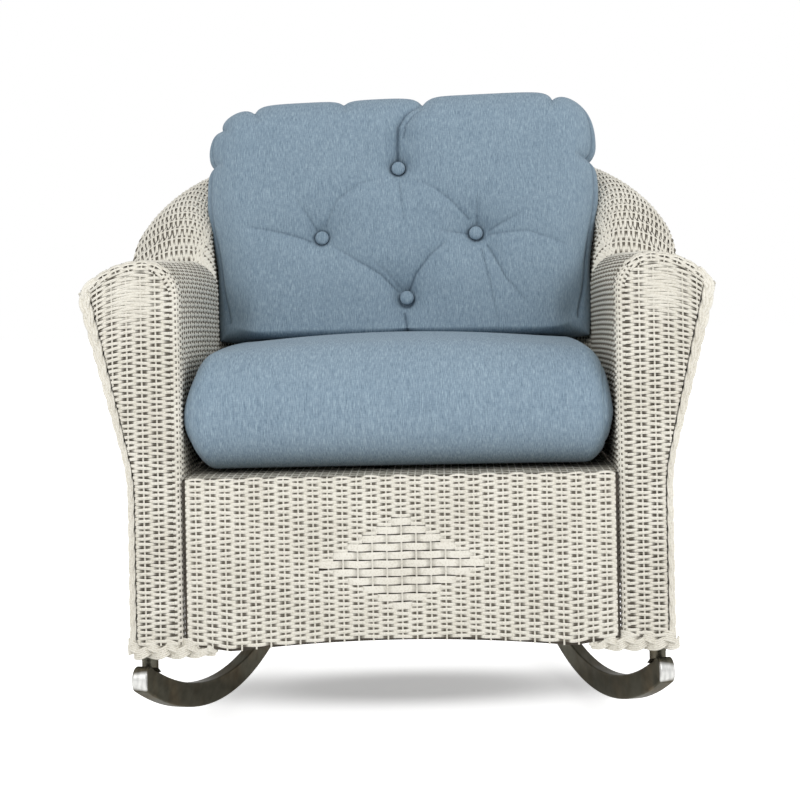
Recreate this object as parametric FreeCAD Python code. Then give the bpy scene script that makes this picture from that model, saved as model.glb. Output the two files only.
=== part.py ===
import FreeCAD, Part

import math
import os

# Outdoor rocking chair: a welded steel frame on two bent runners, a woven tub of loom fabric round it,
# a box seat cushion and a tufted back cushion. Millimetres, +Z up, the chair faces -Y, +X to the right.
# The origin is on the floor, midway between the front and rear ends of the runners.

# Driving sizes of the runners
RUNNER_LENGTH = 914.0
RUNNER_RADIUS = 910.0
RUNNER_HEIGHT = 34.0
RUNNER_WIDTH = 20.0
RUNNER_EDGE = 2.5
RUNNER_OUTSET = 60.0
RUNNER_TOE_IN = 10.1
RUNNER_NOSE = 19.0
REST_POINT_SHIFT = -60.0

# Driving sizes of the tub
SEAT_HALF_WIDTH = 290.0
SEAT_DEPTH = 548.0
DECK_HEIGHT = 370.0
ARM_HEIGHT = 661.0
BACK_RISE = 178.0
EARLY_RISE_SHARE = 0.8
BACK_LEAN = 11.4
CORNER_RADIUS = 130.0
TUB_WALL = 74.0
SKIN = 4.0
ARM_REACH = 136.0
BACK_REACH = 178.0
ARM_ROLL = 50.0
BACK_ROLL = 40.0
ARM_DROP = 43.0
BACK_DROP = 34.0
FLARE_HEIGHT = 343.0
FLARE_BEND = 250.0
CORNER_STEPS = 6

# Driving sizes of the frame under the weave
POST = 22.0
POST_SETBACK = 28.0
REAR_POST_SETBACK = 556.0
RAIL = 22.0
UPRIGHT = 16.0
UPRIGHT_HALF_GAP = 90.0
TUBE_WALL = 2.0
SLAT_WIDTH = 30.0
SLAT_THICKNESS = 5.0
SLAT_SPACING = 150.0
ROLL_GAP = 0.5
BEAD = 3.5
COLLAR_HEIGHT = 24.0
COLLAR_FLARE = 4.0

# Driving sizes of the arm fronts, their braids, the hems and the apron
CAP_DEPTH = 16.0
CAP_ROUND = 13.0
BRAID_FOOT = 9.0
BRAID_HEAD = 16.0
BRAID_DEPTH = 15.0
BRAID_STEPS = 6
FOOT_BRAID_HEIGHT = 20.0
FOOT_BRAID_DEPTH = 18.0
FOOT_BRAID_TIP_X = 238.0
FOOT_BRAID_TIP = 5.0
FOOT_BRAID_GAP = 5.0
HEM_DEPTH = 20.0
HEM_THICKNESS = 13.0
APRON_GAP = 2.0
APRON_ARCH_RISE = 2.0
APRON_LOW_DROP = 10.0
APRON_LOW_X = 225.0

# Driving sizes of the seat cushion; the shares are of the way up its side, and inwards over its top
CUSHION_CLEARANCE = 3.0
SEAT_CUSHION_HEIGHT = 170.0
SEAT_CUSHION_CROWN = 17.0
SEAT_CUSHION_FRONT = 3.0
SEAT_FRONT_CORNER = 46.0
SEAT_CROWN_CORNER = 32.0
SEAT_DRAWN_IN = 5.0
SEAT_EDGE = 16.0
CROWN_REAR = 425.0
CROWN_NARROWING_SHARE = 0.35
SEAT_SIDE_SHARES = [(0, 1), (0.12, 0.125), (0.5, 0), (0.88, 0.125), (1, 1)]
SEAT_CROWN_SHARES = [(0, 0), (0.3, 0.55), (0.6, 0.85), (1, 1)]

# Driving sizes of the back cushion; its depth shares are (of the depth, of the end's inset)
PILLOW_HEIGHT = 388.0
PILLOW_EAR = 24.0
PILLOW_EAR_START_SHARE = 0.54
PILLOW_EAR_END_SHARE = 0.72
PILLOW_SEAM_SETBACK = 425.0
PILLOW_FRONT = 58.0
PILLOW_REAR = 117.0
PILLOW_CORNER = 70.0
PILLOW_FOOT_CORNER = 45.0
PILLOW_TOP_DIP = 8.0
PILLOW_END_INSET = 110.0
PILLOW_DEPTH_SHARES = [(-1, 1), (-0.86, 0.42), (-0.5, 0.11), (0, 0), (0.43, 0.14), (0.81, 0.51), (1, 0.98)]

# Driving sizes of the tufts, their buttons and twines
TUFT_HEIGHT = 155.0
TUFT_RISE = 100.0
TUFT_SPREAD = 123.0
TUFT_PIT = 52.0
TUFT_FRONT_DEPTH = 16.0
TUFT_REAR_DEPTH = 74.0
PIT_WAIST_SHARES = (0.3, 0.6)
BUTTON = 22.0
BUTTON_DOME = 8.0
BUTTON_EDGE = 3.2
TWINE = 3.0

# Clearances between pieces, and the overrun of cuts
FIT = 0.3
OVERRUN = 5.0

# The front plane of the arms, and what follows from the sizes above
FRONT = RUNNER_NOSE - RUNNER_LENGTH / 2
TOE = math.radians(RUNNER_TOE_IN)
LEAN = math.tan(math.radians(BACK_LEAN))
CORNER = FreeCAD.Vector(SEAT_HALF_WIDTH - CORNER_RADIUS, FRONT + SEAT_DEPTH - CORNER_RADIUS, 0)
UP = FreeCAD.Vector(0, 0, 1)
ACROSS = FreeCAD.Vector(1, 0, 0)
REARWARD = FreeCAD.Vector(0, 1, 0)
TUB_FOOT = DECK_HEIGHT - SKIN
QUARTER_TURN = math.radians(90)
ARC_MIDDLE_SHARE = math.sqrt(2) / 2
CORNER_MIDDLE_SHARE = 1 - ARC_MIDDLE_SHARE

parts = {}


def mirrored(shape):
    """The same piece on the other side of the chair."""
    return shape.mirror(FreeCAD.Vector(0, 0, 0), ACROSS)


def pair(name, shape):
    """Keeps a right-hand piece and its mirror image."""
    parts[name + "_right"] = shape
    parts[name + "_left"] = mirrored(shape)


def arc(start, middle, end):
    """An arc through three points."""
    return Part.Arc(start, middle, end).toShape()


def line(start, end):
    """A straight edge."""
    return Part.LineSegment(start, end).toShape()


def chain(steps):
    """A closed wire from a start point, through lines (one point) and arcs (two points)."""
    edges = []
    here = steps[0][0]
    for step in steps[1:]:
        edges.append(arc(here, step[0], step[1]) if len(step) == 2 else line(here, step[0]))
        here = step[-1]
    edges.append(line(here, steps[0][0]))
    return Part.Wire(edges)


# Runners: a flat bar on edge, bent to one arc, with rounded ends, toed in towards the rear
ALONG = FreeCAD.Vector(-math.sin(TOE), math.cos(TOE), 0)
OUTWARD = FreeCAD.Vector(math.cos(TOE), math.sin(TOE), 0)


def runner_x(y):
    """The runner's centre line on plan."""
    return SEAT_HALF_WIDTH + RUNNER_OUTSET - (y + RUNNER_LENGTH / 2) * math.tan(TOE)


def runner_point(along, height, outward):
    """A point in the runner's own upright plane."""
    base = FreeCAD.Vector(runner_x(0), 0, height)
    return base + ALONG * along + OUTWARD * outward


def runner_top(y):
    """The height of the runner's upper face over a point on plan."""
    away = (y - REST_POINT_SHIFT) / math.cos(TOE)
    return RUNNER_RADIUS - math.sqrt((RUNNER_RADIUS - RUNNER_HEIGHT) ** 2 - away**2)


HEM_HEIGHT = runner_top(FRONT) + FOOT_BRAID_GAP + FOOT_BRAID_HEIGHT + FIT
REST_ALONG = REST_POINT_SHIFT / math.cos(TOE)
RUNNER_CENTRE = runner_point(REST_ALONG, RUNNER_RADIUS, 0)
HALF_ALONG = (RUNNER_LENGTH / 2 - RUNNER_WIDTH / 2 * math.sin(TOE)) / math.cos(TOE)


def runner():
    """The bent bar: two arcs about one centre, closed by half-round ends."""
    inner = RUNNER_RADIUS - RUNNER_HEIGHT
    middle = RUNNER_RADIUS - RUNNER_HEIGHT / 2
    front = -math.asin((HALF_ALONG + REST_ALONG - RUNNER_HEIGHT / 2) / middle)
    rear = math.asin((HALF_ALONG - REST_ALONG - RUNNER_HEIGHT / 2) / middle)

    def at(radius, angle):
        along = REST_ALONG + radius * math.sin(angle)
        return runner_point(along, RUNNER_RADIUS - radius * math.cos(angle), -RUNNER_WIDTH / 2)

    def nose(angle, way):
        tip = at(middle, angle)
        tangent = ALONG * math.cos(angle) + UP * math.sin(angle)
        return tip + tangent * (way * RUNNER_HEIGHT / 2)

    edges = [
        arc(at(RUNNER_RADIUS, front), at(RUNNER_RADIUS, 0), at(RUNNER_RADIUS, rear)),
        arc(at(RUNNER_RADIUS, rear), nose(rear, 1), at(inner, rear)),
        arc(at(inner, rear), at(inner, 0), at(inner, front)),
        arc(at(inner, front), nose(front, -1), at(RUNNER_RADIUS, front)),
    ]
    bar = Part.Face(Part.Wire(edges)).extrude(OUTWARD * RUNNER_WIDTH)
    long_edges = [edge for edge in bar.Edges if edge.Length > RUNNER_WIDTH + FIT]
    return bar.makeFillet(RUNNER_EDGE, long_edges)


pair("runner", runner())


# The tub's section: an upright wall that leans with the back, and a roll over its top
def rise(turn):
    """How far the rim has climbed from the arms to the back, from 0 to 1, after turning by an angle."""
    across = abs(math.sin(turn))
    return across * (1 + EARLY_RISE_SHARE * (1 - across) ** 2)


def between(at_arm, at_back, turn):
    """A size that grows from the arm's to the back's round the corner."""
    return at_arm + (at_back - at_arm) * math.sin(turn)


def rim_height(turn):
    """The height of the top of the roll."""
    return ARM_HEIGHT + BACK_RISE * rise(turn)


def roll_points(turn, inset):
    """Start, middle, top, middle and end of the roll, as (outward, up), for a surface inset into it."""
    lean = math.atan(LEAN * math.sin(turn))
    radius = between(ARM_ROLL, BACK_ROLL, turn)
    reach = between(ARM_REACH, BACK_REACH, turn)
    drop = between(ARM_DROP, BACK_DROP, turn)
    top = rim_height(turn)
    wall_top = top - radius * (1 - math.sin(lean))
    centre = (math.tan(lean) * (wall_top - TUB_FOOT) + radius * math.cos(lean), top - radius)
    flat = reach - centre[0]
    far_radius = (flat**2 + drop**2) / (2 * drop)
    far_centre = (centre[0], top - far_radius)
    far_angle = math.asin(flat / far_radius)

    def near(angle):
        size = radius - inset
        return (centre[0] - size * math.cos(angle), centre[1] + size * math.sin(angle))

    def far(angle):
        size = far_radius - inset
        return (far_centre[0] + size * math.sin(angle), far_centre[1] + size * math.cos(angle))

    near_middle = near((lean + QUARTER_TURN) / 2)
    return [near(lean), near_middle, near(QUARTER_TURN), far(far_angle / 2), far(far_angle)]


def flare_angle(foot, edge):
    """The slope of a flare that bends out of an upright wall at foot and runs straight on to edge."""
    out = edge[0] - foot[0]
    climb = edge[1] - foot[1]
    spare = 2 * FLARE_BEND - out
    return 2 * math.atan((climb - math.sqrt(climb**2 - out * spare)) / spare)


def flare_bend(foot, edge):
    """Middle and end of the flare's bend, as (outward, up)."""
    angle = flare_angle(foot, edge)

    def at(bend):
        return (foot[0] + FLARE_BEND * (1 - math.cos(bend)), foot[1] + FLARE_BEND * math.sin(bend))

    return [at(angle / 2), at(angle)]


def place(turn, origin, point):
    """A point of the section, (outward, up), set on plan at origin and turned round the corner."""
    normal = FreeCAD.Vector(math.cos(turn), math.sin(turn), 0)
    return origin + normal * point[0] + UP * point[1]


def closed_wire(points, turn, origin):
    """A closed wire on a section. A step of one point is a line to it, and one of two points an arc."""
    corners = [[place(turn, origin, p) for p in step] for step in points]
    return chain(corners)


def inner_section(turn, origin):
    """The inner skin's section: the wall from the deck up, and the roll out to the rim's edge."""
    outside = roll_points(turn, 0)
    inside = roll_points(turn, SKIN)
    skin = SKIN * math.sqrt(1 + (LEAN * math.sin(turn)) ** 2)
    steps = [
        [(0, TUB_FOOT)],
        [outside[0]],
        [outside[1], outside[2]],
        [outside[3], outside[4]],
        [inside[4]],
        [inside[3], inside[2]],
        [inside[1], inside[0]],
        [(skin, TUB_FOOT)],
    ]
    return closed_wire(steps, turn, origin)


def outer_section(turn, origin):
    """The outer skin's section: an upright wall from the hem, then a flare out to the rim's edge."""
    under = roll_points(turn, SKIN)[4]
    edge = (roll_points(turn, 0)[4][0], under[1] - FIT)
    wall = (TUB_WALL, FLARE_HEIGHT)
    inner_edge = (edge[0] - SKIN, edge[1])
    inner_wall = (TUB_WALL - SKIN, FLARE_HEIGHT)
    inner_bend = flare_bend(inner_wall, inner_edge)
    steps = [
        [(TUB_WALL, HEM_HEIGHT)],
        [wall],
        flare_bend(wall, edge),
        [edge],
        [inner_edge],
        [inner_bend[1]],
        [inner_bend[0], inner_wall],
        [(TUB_WALL - SKIN, HEM_HEIGHT)],
    ]
    return closed_wire(steps, turn, origin)


def around(distance, turn):
    """A point on plan at a distance outside the tub's inner wall at the corner."""
    normal = FreeCAD.Vector(math.cos(turn), math.sin(turn), 0)
    return CORNER + normal * (CORNER_RADIUS + distance)


def corner_turns():
    """The angles of the sections round one corner, from the side wall to the back wall."""
    return [QUARTER_TURN * step / CORNER_STEPS for step in range(CORNER_STEPS + 1)]


def arm_skin(section):
    """One side of the tub: the section carried straight back from the arm's front cap to the corner."""
    start = FreeCAD.Vector(SEAT_HALF_WIDTH, FRONT + CAP_DEPTH, 0)
    length = CORNER.y - start.y
    return Part.Face(section(0, start)).extrude(REARWARD * length)


def back_skin(section):
    """The back of the tub: two lofted corners and the straight back between them, fused."""
    sections = [section(turn, around(0, turn)) for turn in corner_turns()]
    corner = Part.makeLoft(sections, True, False)
    straight = Part.Face(sections[-1]).extrude(ACROSS * (-2 * CORNER.x))
    return corner.fuse([straight, mirrored(corner)]).removeSplitter()


pair("arm_inner_skin", arm_skin(inner_section))
pair("arm_outer_skin", arm_skin(outer_section))
parts["back_inner_skin"] = back_skin(inner_section)
parts["back_outer_skin"] = back_skin(outer_section)

# Arm-front caps: shallow woven trays that close the arms, with the braid's rebate down the outer edge
def cap_section(inset, y):
    """The arm's closed outline at a depth, less a wall, with room for the braid on its outer edge."""
    roll = roll_points(0, inset)
    flat = ARM_REACH - ARM_ROLL
    far_radius = (flat**2 + ARM_DROP**2) / (2 * ARM_DROP)
    size = far_radius - inset
    far_z = ARM_HEIGHT - far_radius
    end_angle = math.asin((flat - BRAID_HEAD - inset) / size)
    half_angle = end_angle / 2
    middle = (ARM_ROLL + size * math.sin(half_angle), far_z + size * math.cos(half_angle))
    end = (ARM_ROLL + size * math.sin(end_angle), far_z + size * math.cos(end_angle))
    wall = (TUB_WALL - BRAID_FOOT - inset, FLARE_HEIGHT)
    bend = flare_bend(wall, end)
    steps = [
        [(inset, HEM_HEIGHT)],
        [roll[0]],
        [roll[1], roll[2]],
        [middle, end],
        [bend[1]],
        [bend[0], wall],
        [(wall[0], HEM_HEIGHT)],
    ]
    return closed_wire(steps, 0, FreeCAD.Vector(SEAT_HALF_WIDTH, y, 0))


def rounded_front(solid, y, radius):
    """The solid with the front edges of its inner side and of its roll rounded."""
    inner_side = SEAT_HALF_WIDTH + ARM_ROLL
    edges = []
    for edge in solid.Edges:
        box = edge.BoundBox
        at_front = box.YMax < y + FIT
        if at_front and box.XMin < inner_side - FIT and box.XMax < inner_side + FIT and box.ZLength > FIT:
            edges.append(edge)
    return solid.makeFillet(radius, edges)


def arm_cap():
    """A tray: the outline extruded, its front edges rounded, and hollowed from behind."""
    outer = Part.Face(cap_section(0, FRONT)).extrude(REARWARD * CAP_DEPTH)
    hollow = Part.Face(cap_section(SKIN, FRONT + SKIN)).extrude(REARWARD * CAP_DEPTH)
    outer = rounded_front(outer, FRONT, CAP_ROUND)
    hollow = rounded_front(hollow, FRONT + SKIN, CAP_ROUND - SKIN)
    return outer.cut(hollow)


pair("arm_front", arm_cap())


# Braids: one down the outer front edge of each arm, one along the foot of each arm front
def flare_out(wall_out, edge, height):
    """How far out a flared wall is at a height."""
    wall = (wall_out, FLARE_HEIGHT)
    if height <= FLARE_HEIGHT:
        return wall_out
    bend_end = flare_bend(wall, edge)[1]
    if height < bend_end[1]:
        return wall_out + FLARE_BEND - math.sqrt(FLARE_BEND**2 - (height - FLARE_HEIGHT) ** 2)
    return bend_end[0] + (height - bend_end[1]) * math.tan(flare_angle(wall, edge))


def oval(centre, normal, side, half_side, half_other):
    """A closed oval about a centre: a unit circle stretched along side and along the other way."""
    other = normal.cross(side)
    stretch = FreeCAD.Matrix(
        side.x * half_side, other.x * half_other, normal.x, centre.x,
        side.y * half_side, other.y * half_other, normal.y, centre.y,
        side.z * half_side, other.z * half_other, normal.z, centre.z,
        0, 0, 0, 1,
    )
    circle = Part.Circle(FreeCAD.Vector(0, 0, 0), UP, 1).toShape()
    return Part.Wire([circle]).transformGeometry(stretch)


def edge_braid():
    """A tapering plait that fills the rebate between an arm's front cap and its outer skin."""
    cap_edge = (ARM_REACH - BRAID_HEAD, ARM_HEIGHT - ARM_DROP)
    skin_edge = (ARM_REACH, ARM_HEIGHT - ARM_DROP - SKIN)
    low = HEM_HEIGHT + FIT
    high = ARM_HEIGHT - ARM_DROP - 2 * SKIN
    ovals = []
    for step in range(BRAID_STEPS + 1):
        height = low + (high - low) * step / BRAID_STEPS
        inner = flare_out(TUB_WALL - BRAID_FOOT, cap_edge, height)
        outer = flare_out(TUB_WALL, skin_edge, height)
        centre = FreeCAD.Vector(SEAT_HALF_WIDTH + (inner + outer) / 2, FRONT + BRAID_DEPTH / 2, height)
        ovals.append(oval(centre, UP, REARWARD, BRAID_DEPTH / 2, (outer - inner) / 2 - 2 * FIT))
    return Part.makeLoft(ovals, True, False)


def foot_braid():
    """A plait under the arm front that tapers away along the apron's lower corner."""
    root_x = SEAT_HALF_WIDTH + TUB_WALL
    knee_x = SEAT_HALF_WIDTH - SKIN
    middle_x = (knee_x + FOOT_BRAID_TIP_X) / 2
    centre_y = FRONT + FOOT_BRAID_DEPTH / 3
    tall = FOOT_BRAID_HEIGHT
    middle = (tall + FOOT_BRAID_TIP) / 2
    stations = [(root_x, tall), ((root_x + knee_x) / 2, tall), (knee_x, tall), (middle_x, middle)]
    stations.append((FOOT_BRAID_TIP_X, FOOT_BRAID_TIP))
    ovals = []
    for x, height in stations:
        drop = (tall - height) / 2
        centre = FreeCAD.Vector(x, centre_y, HEM_HEIGHT - FIT - tall / 2 - drop / 2)
        depth = FOOT_BRAID_DEPTH * (1 + height / tall) / 2
        ovals.append(oval(centre, ACROSS, REARWARD, depth / 2, height / 2))
    above = Part.makeBox(root_x, root_x, root_x, FreeCAD.Vector(0, FRONT - root_x / 2, HEM_HEIGHT - FIT))
    return Part.makeLoft(ovals, True, False).cut(above)


pair("arm_edge_braid", edge_braid())
FOOT_BRAID = foot_braid()
pair("arm_foot_braid", FOOT_BRAID)

# Hems: a thick border round the foot of the outer skins
def hem_face(origin, side):
    """The border's oval section under the outer skin."""
    centre = origin + side * (TUB_WALL - SKIN / 2) + UP * (HEM_HEIGHT - FIT - HEM_DEPTH / 2)
    return Part.Face(oval(centre, side.cross(UP), side, HEM_THICKNESS / 2, HEM_DEPTH / 2))


def side_hem():
    """The border along one side, behind the foot braid."""
    start = FreeCAD.Vector(SEAT_HALF_WIDTH, FRONT + FOOT_BRAID_DEPTH, 0)
    return hem_face(start, ACROSS).extrude(REARWARD * (CORNER.y - start.y))


def back_hem():
    """The border round both corners and across the back."""
    start = FreeCAD.Vector(SEAT_HALF_WIDTH, CORNER.y, 0)
    corner = hem_face(start, ACROSS).revolve(CORNER, UP, 90)
    back = FreeCAD.Vector(CORNER.x, CORNER.y + CORNER_RADIUS, 0)
    straight = hem_face(back, REARWARD).extrude(ACROSS * (-2 * CORNER.x))
    return corner.fuse([straight, mirrored(corner)])


pair("side_hem", side_hem())
parts["back_hem"] = back_hem()

# Seat deck and apron: the woven seat, and the woven front that hangs from it
def deck():
    """The seat's plan: straight sides and round rear corners that fit inside the tub."""
    half = SEAT_HALF_WIDTH - FIT
    radius = CORNER_RADIUS - FIT
    front = FRONT + SKIN + FIT
    slant = radius * ARC_MIDDLE_SHARE
    outline = [
        [(-half, front)],
        [(half, front)],
        [(half, CORNER.y)],
        [(CORNER.x + slant, CORNER.y + slant), (CORNER.x, CORNER.y + radius)],
        [(-CORNER.x, CORNER.y + radius)],
        [(-CORNER.x - slant, CORNER.y + slant), (-half, CORNER.y)],
    ]
    wire = chain([[FreeCAD.Vector(x, y, TUB_FOOT) for x, y in step] for step in outline])
    return Part.Face(wire).extrude(UP * SKIN)


def apron():
    """The front panel: a low arch between the two foot braids."""
    half = SEAT_HALF_WIDTH - APRON_GAP
    low = HEM_HEIGHT - APRON_LOW_DROP
    outline = [
        [(-half, DECK_HEIGHT)],
        [(half, DECK_HEIGHT)],
        [(half, HEM_HEIGHT)],
        [(APRON_LOW_X, low)],
        [(0, HEM_HEIGHT + APRON_ARCH_RISE), (-APRON_LOW_X, low)],
        [(-half, HEM_HEIGHT)],
    ]
    wire = chain([[FreeCAD.Vector(x, FRONT, z) for x, z in step] for step in outline])
    panel = Part.Face(wire).extrude(REARWARD * SKIN)
    return panel.cut(FOOT_BRAID).cut(mirrored(FOOT_BRAID))


parts["seat_deck"] = deck()
parts["front_apron"] = apron()

# Frame: posts welded on the runners, rails between them, arm rails and a bent rim tube under the rolls
RAIL_HEIGHT = TUB_FOOT - SLAT_THICKNESS - 2 * FIT - RAIL / 2
ARM_RAIL_HEIGHT = ARM_HEIGHT - SKIN - ROLL_GAP - RAIL / 2
FRONT_POST_Y = FRONT + POST_SETBACK
REAR_POST_Y = FRONT + REAR_POST_SETBACK


def rod(start, end, diameter):
    """A solid round bar between two points."""
    return Part.makeCylinder(diameter / 2, (end - start).Length, start, end - start)


def tube(start, end, diameter):
    """A round tube between two points."""
    return rod(start, end, diameter).cut(rod(start, end, diameter - 2 * TUBE_WALL))


def above_runner():
    """The space above the runner's upper face, as wide as the whole frame."""
    wide = 2 * SEAT_HALF_WIDTH
    start = RUNNER_CENTRE - OUTWARD * (wide / 2)
    return Part.makeCylinder(RUNNER_RADIUS - RUNNER_HEIGHT, wide, start, OUTWARD)


FRONT_FOOT = FreeCAD.Vector(runner_x(FRONT_POST_Y), FRONT_POST_Y, 0)
REAR_FOOT = FreeCAD.Vector(runner_x(REAR_POST_Y), REAR_POST_Y, 0)
ARM_RAIL_X = SEAT_HALF_WIDTH + ARM_ROLL
ARM_RAIL_FRONT = FreeCAD.Vector(ARM_RAIL_X, FRONT + CAP_DEPTH + FIT, ARM_RAIL_HEIGHT)
ARM_RAIL_REAR = FreeCAD.Vector(ARM_RAIL_X, CORNER.y, ARM_RAIL_HEIGHT)
ARM_RAIL_ROD = rod(ARM_RAIL_FRONT, ARM_RAIL_REAR, RAIL)
FRONT_POST_TOP = FreeCAD.Vector(ARM_RAIL_X, FRONT_POST_Y, ARM_RAIL_HEIGHT)
FRONT_POST_ROD = rod(FRONT_FOOT, FRONT_POST_TOP, POST)
REAR_POST_TOP = REAR_FOOT + UP * (RAIL_HEIGHT + RAIL / 2)
REAR_POST_ROD = rod(REAR_FOOT, REAR_POST_TOP, POST)
FRONT_RAIL_END = FRONT_FOOT + (FRONT_POST_TOP - FRONT_FOOT) * (RAIL_HEIGHT / ARM_RAIL_HEIGHT)
REAR_RAIL_END = REAR_FOOT + UP * RAIL_HEIGHT


def across(end):
    """The matching point on the other side of the chair."""
    return FreeCAD.Vector(-end.x, end.y, end.z)


FRONT_RAIL_ROD = rod(FRONT_RAIL_END, across(FRONT_RAIL_END), RAIL)
REAR_RAIL_ROD = rod(REAR_RAIL_END, across(REAR_RAIL_END), RAIL)

front_post = tube(FRONT_FOOT, FRONT_POST_TOP, POST)
pair("front_post", front_post.common(above_runner()).cut(ARM_RAIL_ROD))
pair("rear_post", tube(REAR_FOOT, REAR_POST_TOP, POST).common(above_runner()))
pair("arm_rail", tube(ARM_RAIL_FRONT, ARM_RAIL_REAR, RAIL))

side_rail = tube(FRONT_RAIL_END, REAR_RAIL_END, RAIL)
for neighbour in [FRONT_POST_ROD, REAR_POST_ROD, FRONT_RAIL_ROD, REAR_RAIL_ROD]:
    side_rail = side_rail.cut(neighbour)
pair("seat_side_rail", side_rail)

front_rail = tube(FRONT_RAIL_END, across(FRONT_RAIL_END), RAIL)
parts["seat_front_rail"] = front_rail.cut(FRONT_POST_ROD).cut(mirrored(FRONT_POST_ROD))
rear_rail = tube(REAR_RAIL_END, across(REAR_RAIL_END), RAIL)
parts["seat_rear_rail"] = rear_rail.cut(REAR_POST_ROD).cut(mirrored(REAR_POST_ROD))


def roll_top(turn):
    """The highest point of the roll's section, in the chair's own axes."""
    top = roll_points(turn, 0)[2]
    return around(top[0], turn) + UP * top[1]


def rim_point(turn):
    """The rim tube's centre: under the top of the roll, lower where the roll climbs steeply."""
    step = math.radians(1)
    way = roll_top(turn + step) - roll_top(turn - step)
    across_ground = math.hypot(way.x, way.y) / way.Length
    if turn in (0, QUARTER_TURN):
        across_ground = 1
    return roll_top(turn) - UP * ((SKIN + ROLL_GAP + RAIL / 2) / across_ground)


def rim_ring(turn, diameter):
    """A ring round the rim tube's path, square to it."""
    step = math.radians(1)
    way = rim_point(turn + step) - rim_point(turn - step)
    if turn == 0:
        way = REARWARD
    if turn == QUARTER_TURN:
        way = FreeCAD.Vector(-1, 0, 0)
    way = way / way.Length
    side = FreeCAD.Vector(math.cos(turn), math.sin(turn), 0)
    side = side - way * side.dot(way)
    placement = FreeCAD.Placement(rim_point(turn), FreeCAD.Rotation(side, way.cross(side), way, "ZXY"))
    ring = Part.Wire([Part.Circle(FreeCAD.Vector(0, 0, 0), UP, diameter / 2).toShape()])
    ring.Placement = placement
    return ring


def rim_rod(diameter):
    """The bent rim bar: two lofted corners and the straight back between them, fused."""
    corner = Part.makeLoft([rim_ring(turn, diameter) for turn in corner_turns()], True, False)
    end = rim_point(QUARTER_TURN)
    return corner.fuse([rod(end, across(end), diameter), mirrored(corner)])


RIM_ROD = rim_rod(RAIL)
parts["rim_tube"] = RIM_ROD.cut(rim_rod(RAIL - 2 * TUBE_WALL))


def back_post():
    """A leaning tube from a rear post's top to the rim tube."""
    turn = math.atan2(REAR_POST_Y - CORNER.y, REAR_FOOT.x - CORNER.x)
    top = rim_point(turn)
    foot = REAR_POST_TOP
    below = foot - (top - foot) * (RAIL / (top - foot).Length)
    floor = Part.makeBox(4 * RAIL, 4 * RAIL, 2 * RAIL, foot - FreeCAD.Vector(2 * RAIL, 2 * RAIL, 2 * RAIL))
    return tube(below, top, POST).cut(floor).cut(RIM_ROD)


def back_uprights():
    """Two leaning tubes from the rear seat rail to the rim tube."""
    rail_line = REAR_POST_Y + (RAIL - UPRIGHT)
    foot = FreeCAD.Vector(UPRIGHT_HALF_GAP, rail_line, RAIL_HEIGHT)
    rim = rim_point(QUARTER_TURN)
    upright = tube(foot, FreeCAD.Vector(UPRIGHT_HALF_GAP, rim.y, rim.z), UPRIGHT)
    upright = upright.cut(RIM_ROD).cut(REAR_RAIL_ROD)
    upright = max(upright.Solids, key=lambda solid: solid.Volume)
    return Part.makeCompound([upright, mirrored(upright)])


pair("back_post", back_post())
parts["back_uprights"] = back_uprights()


def slats():
    """Three flat bars from the front rail to the rear rail, under the deck."""
    height = RAIL_HEIGHT + RAIL / 2 + FIT
    bars = []
    for x in (-SLAT_SPACING, 0, SLAT_SPACING):
        corner = FreeCAD.Vector(x - SLAT_WIDTH / 2, FRONT_POST_Y - RAIL / 2, height)
        length = REAR_POST_Y - FRONT_POST_Y + RAIL
        bars.append(Part.makeBox(SLAT_WIDTH, length, SLAT_THICKNESS, corner))
    return Part.makeCompound(bars)


parts["seat_slats"] = slats()

# Weld beads round the posts' feet, and flared collars above the front feet
def weld_bead(foot, post):
    """A sloped ring of weld where a post stands on a runner."""
    height = runner_top(foot.y)
    away = (foot.y - REST_POINT_SHIFT) / math.cos(TOE)
    slope = math.asin(away / (RUNNER_RADIUS - RUNNER_HEIGHT))
    normal = UP * math.cos(slope) - ALONG * math.sin(slope)
    low = FreeCAD.Vector(foot.x, foot.y, height) - normal * BEAD
    ring = Part.makeCone(POST / 2 + 2 * BEAD, POST / 2 + FIT, 2 * BEAD, low, normal)
    return ring.common(above_runner()).cut(post)


def collar():
    """A sleeve round a front post that flares up into the weave."""
    top = HEM_HEIGHT
    low = top - COLLAR_HEIGHT
    axis = FRONT_POST_TOP - FRONT_FOOT
    axis = axis / axis.Length
    foot = FRONT_FOOT + axis * low
    sleeve = Part.makeCone(POST / 2 + FIT, POST / 2 + COLLAR_FLARE, COLLAR_HEIGHT, foot, axis)
    return sleeve.cut(FRONT_POST_ROD)


beads = []
for foot, post in ((FRONT_FOOT, FRONT_POST_ROD), (REAR_FOOT, REAR_POST_ROD)):
    bead = weld_bead(foot, post)
    beads += [bead, mirrored(bead)]
parts["weld_beads"] = Part.makeCompound(beads)
pair("post_collar", collar())

# Seat cushion: a box of foam in fabric, drawn in at its sides, with a crowned top
SEAT_TOP = DECK_HEIGHT + FIT + SEAT_CUSHION_HEIGHT


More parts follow.
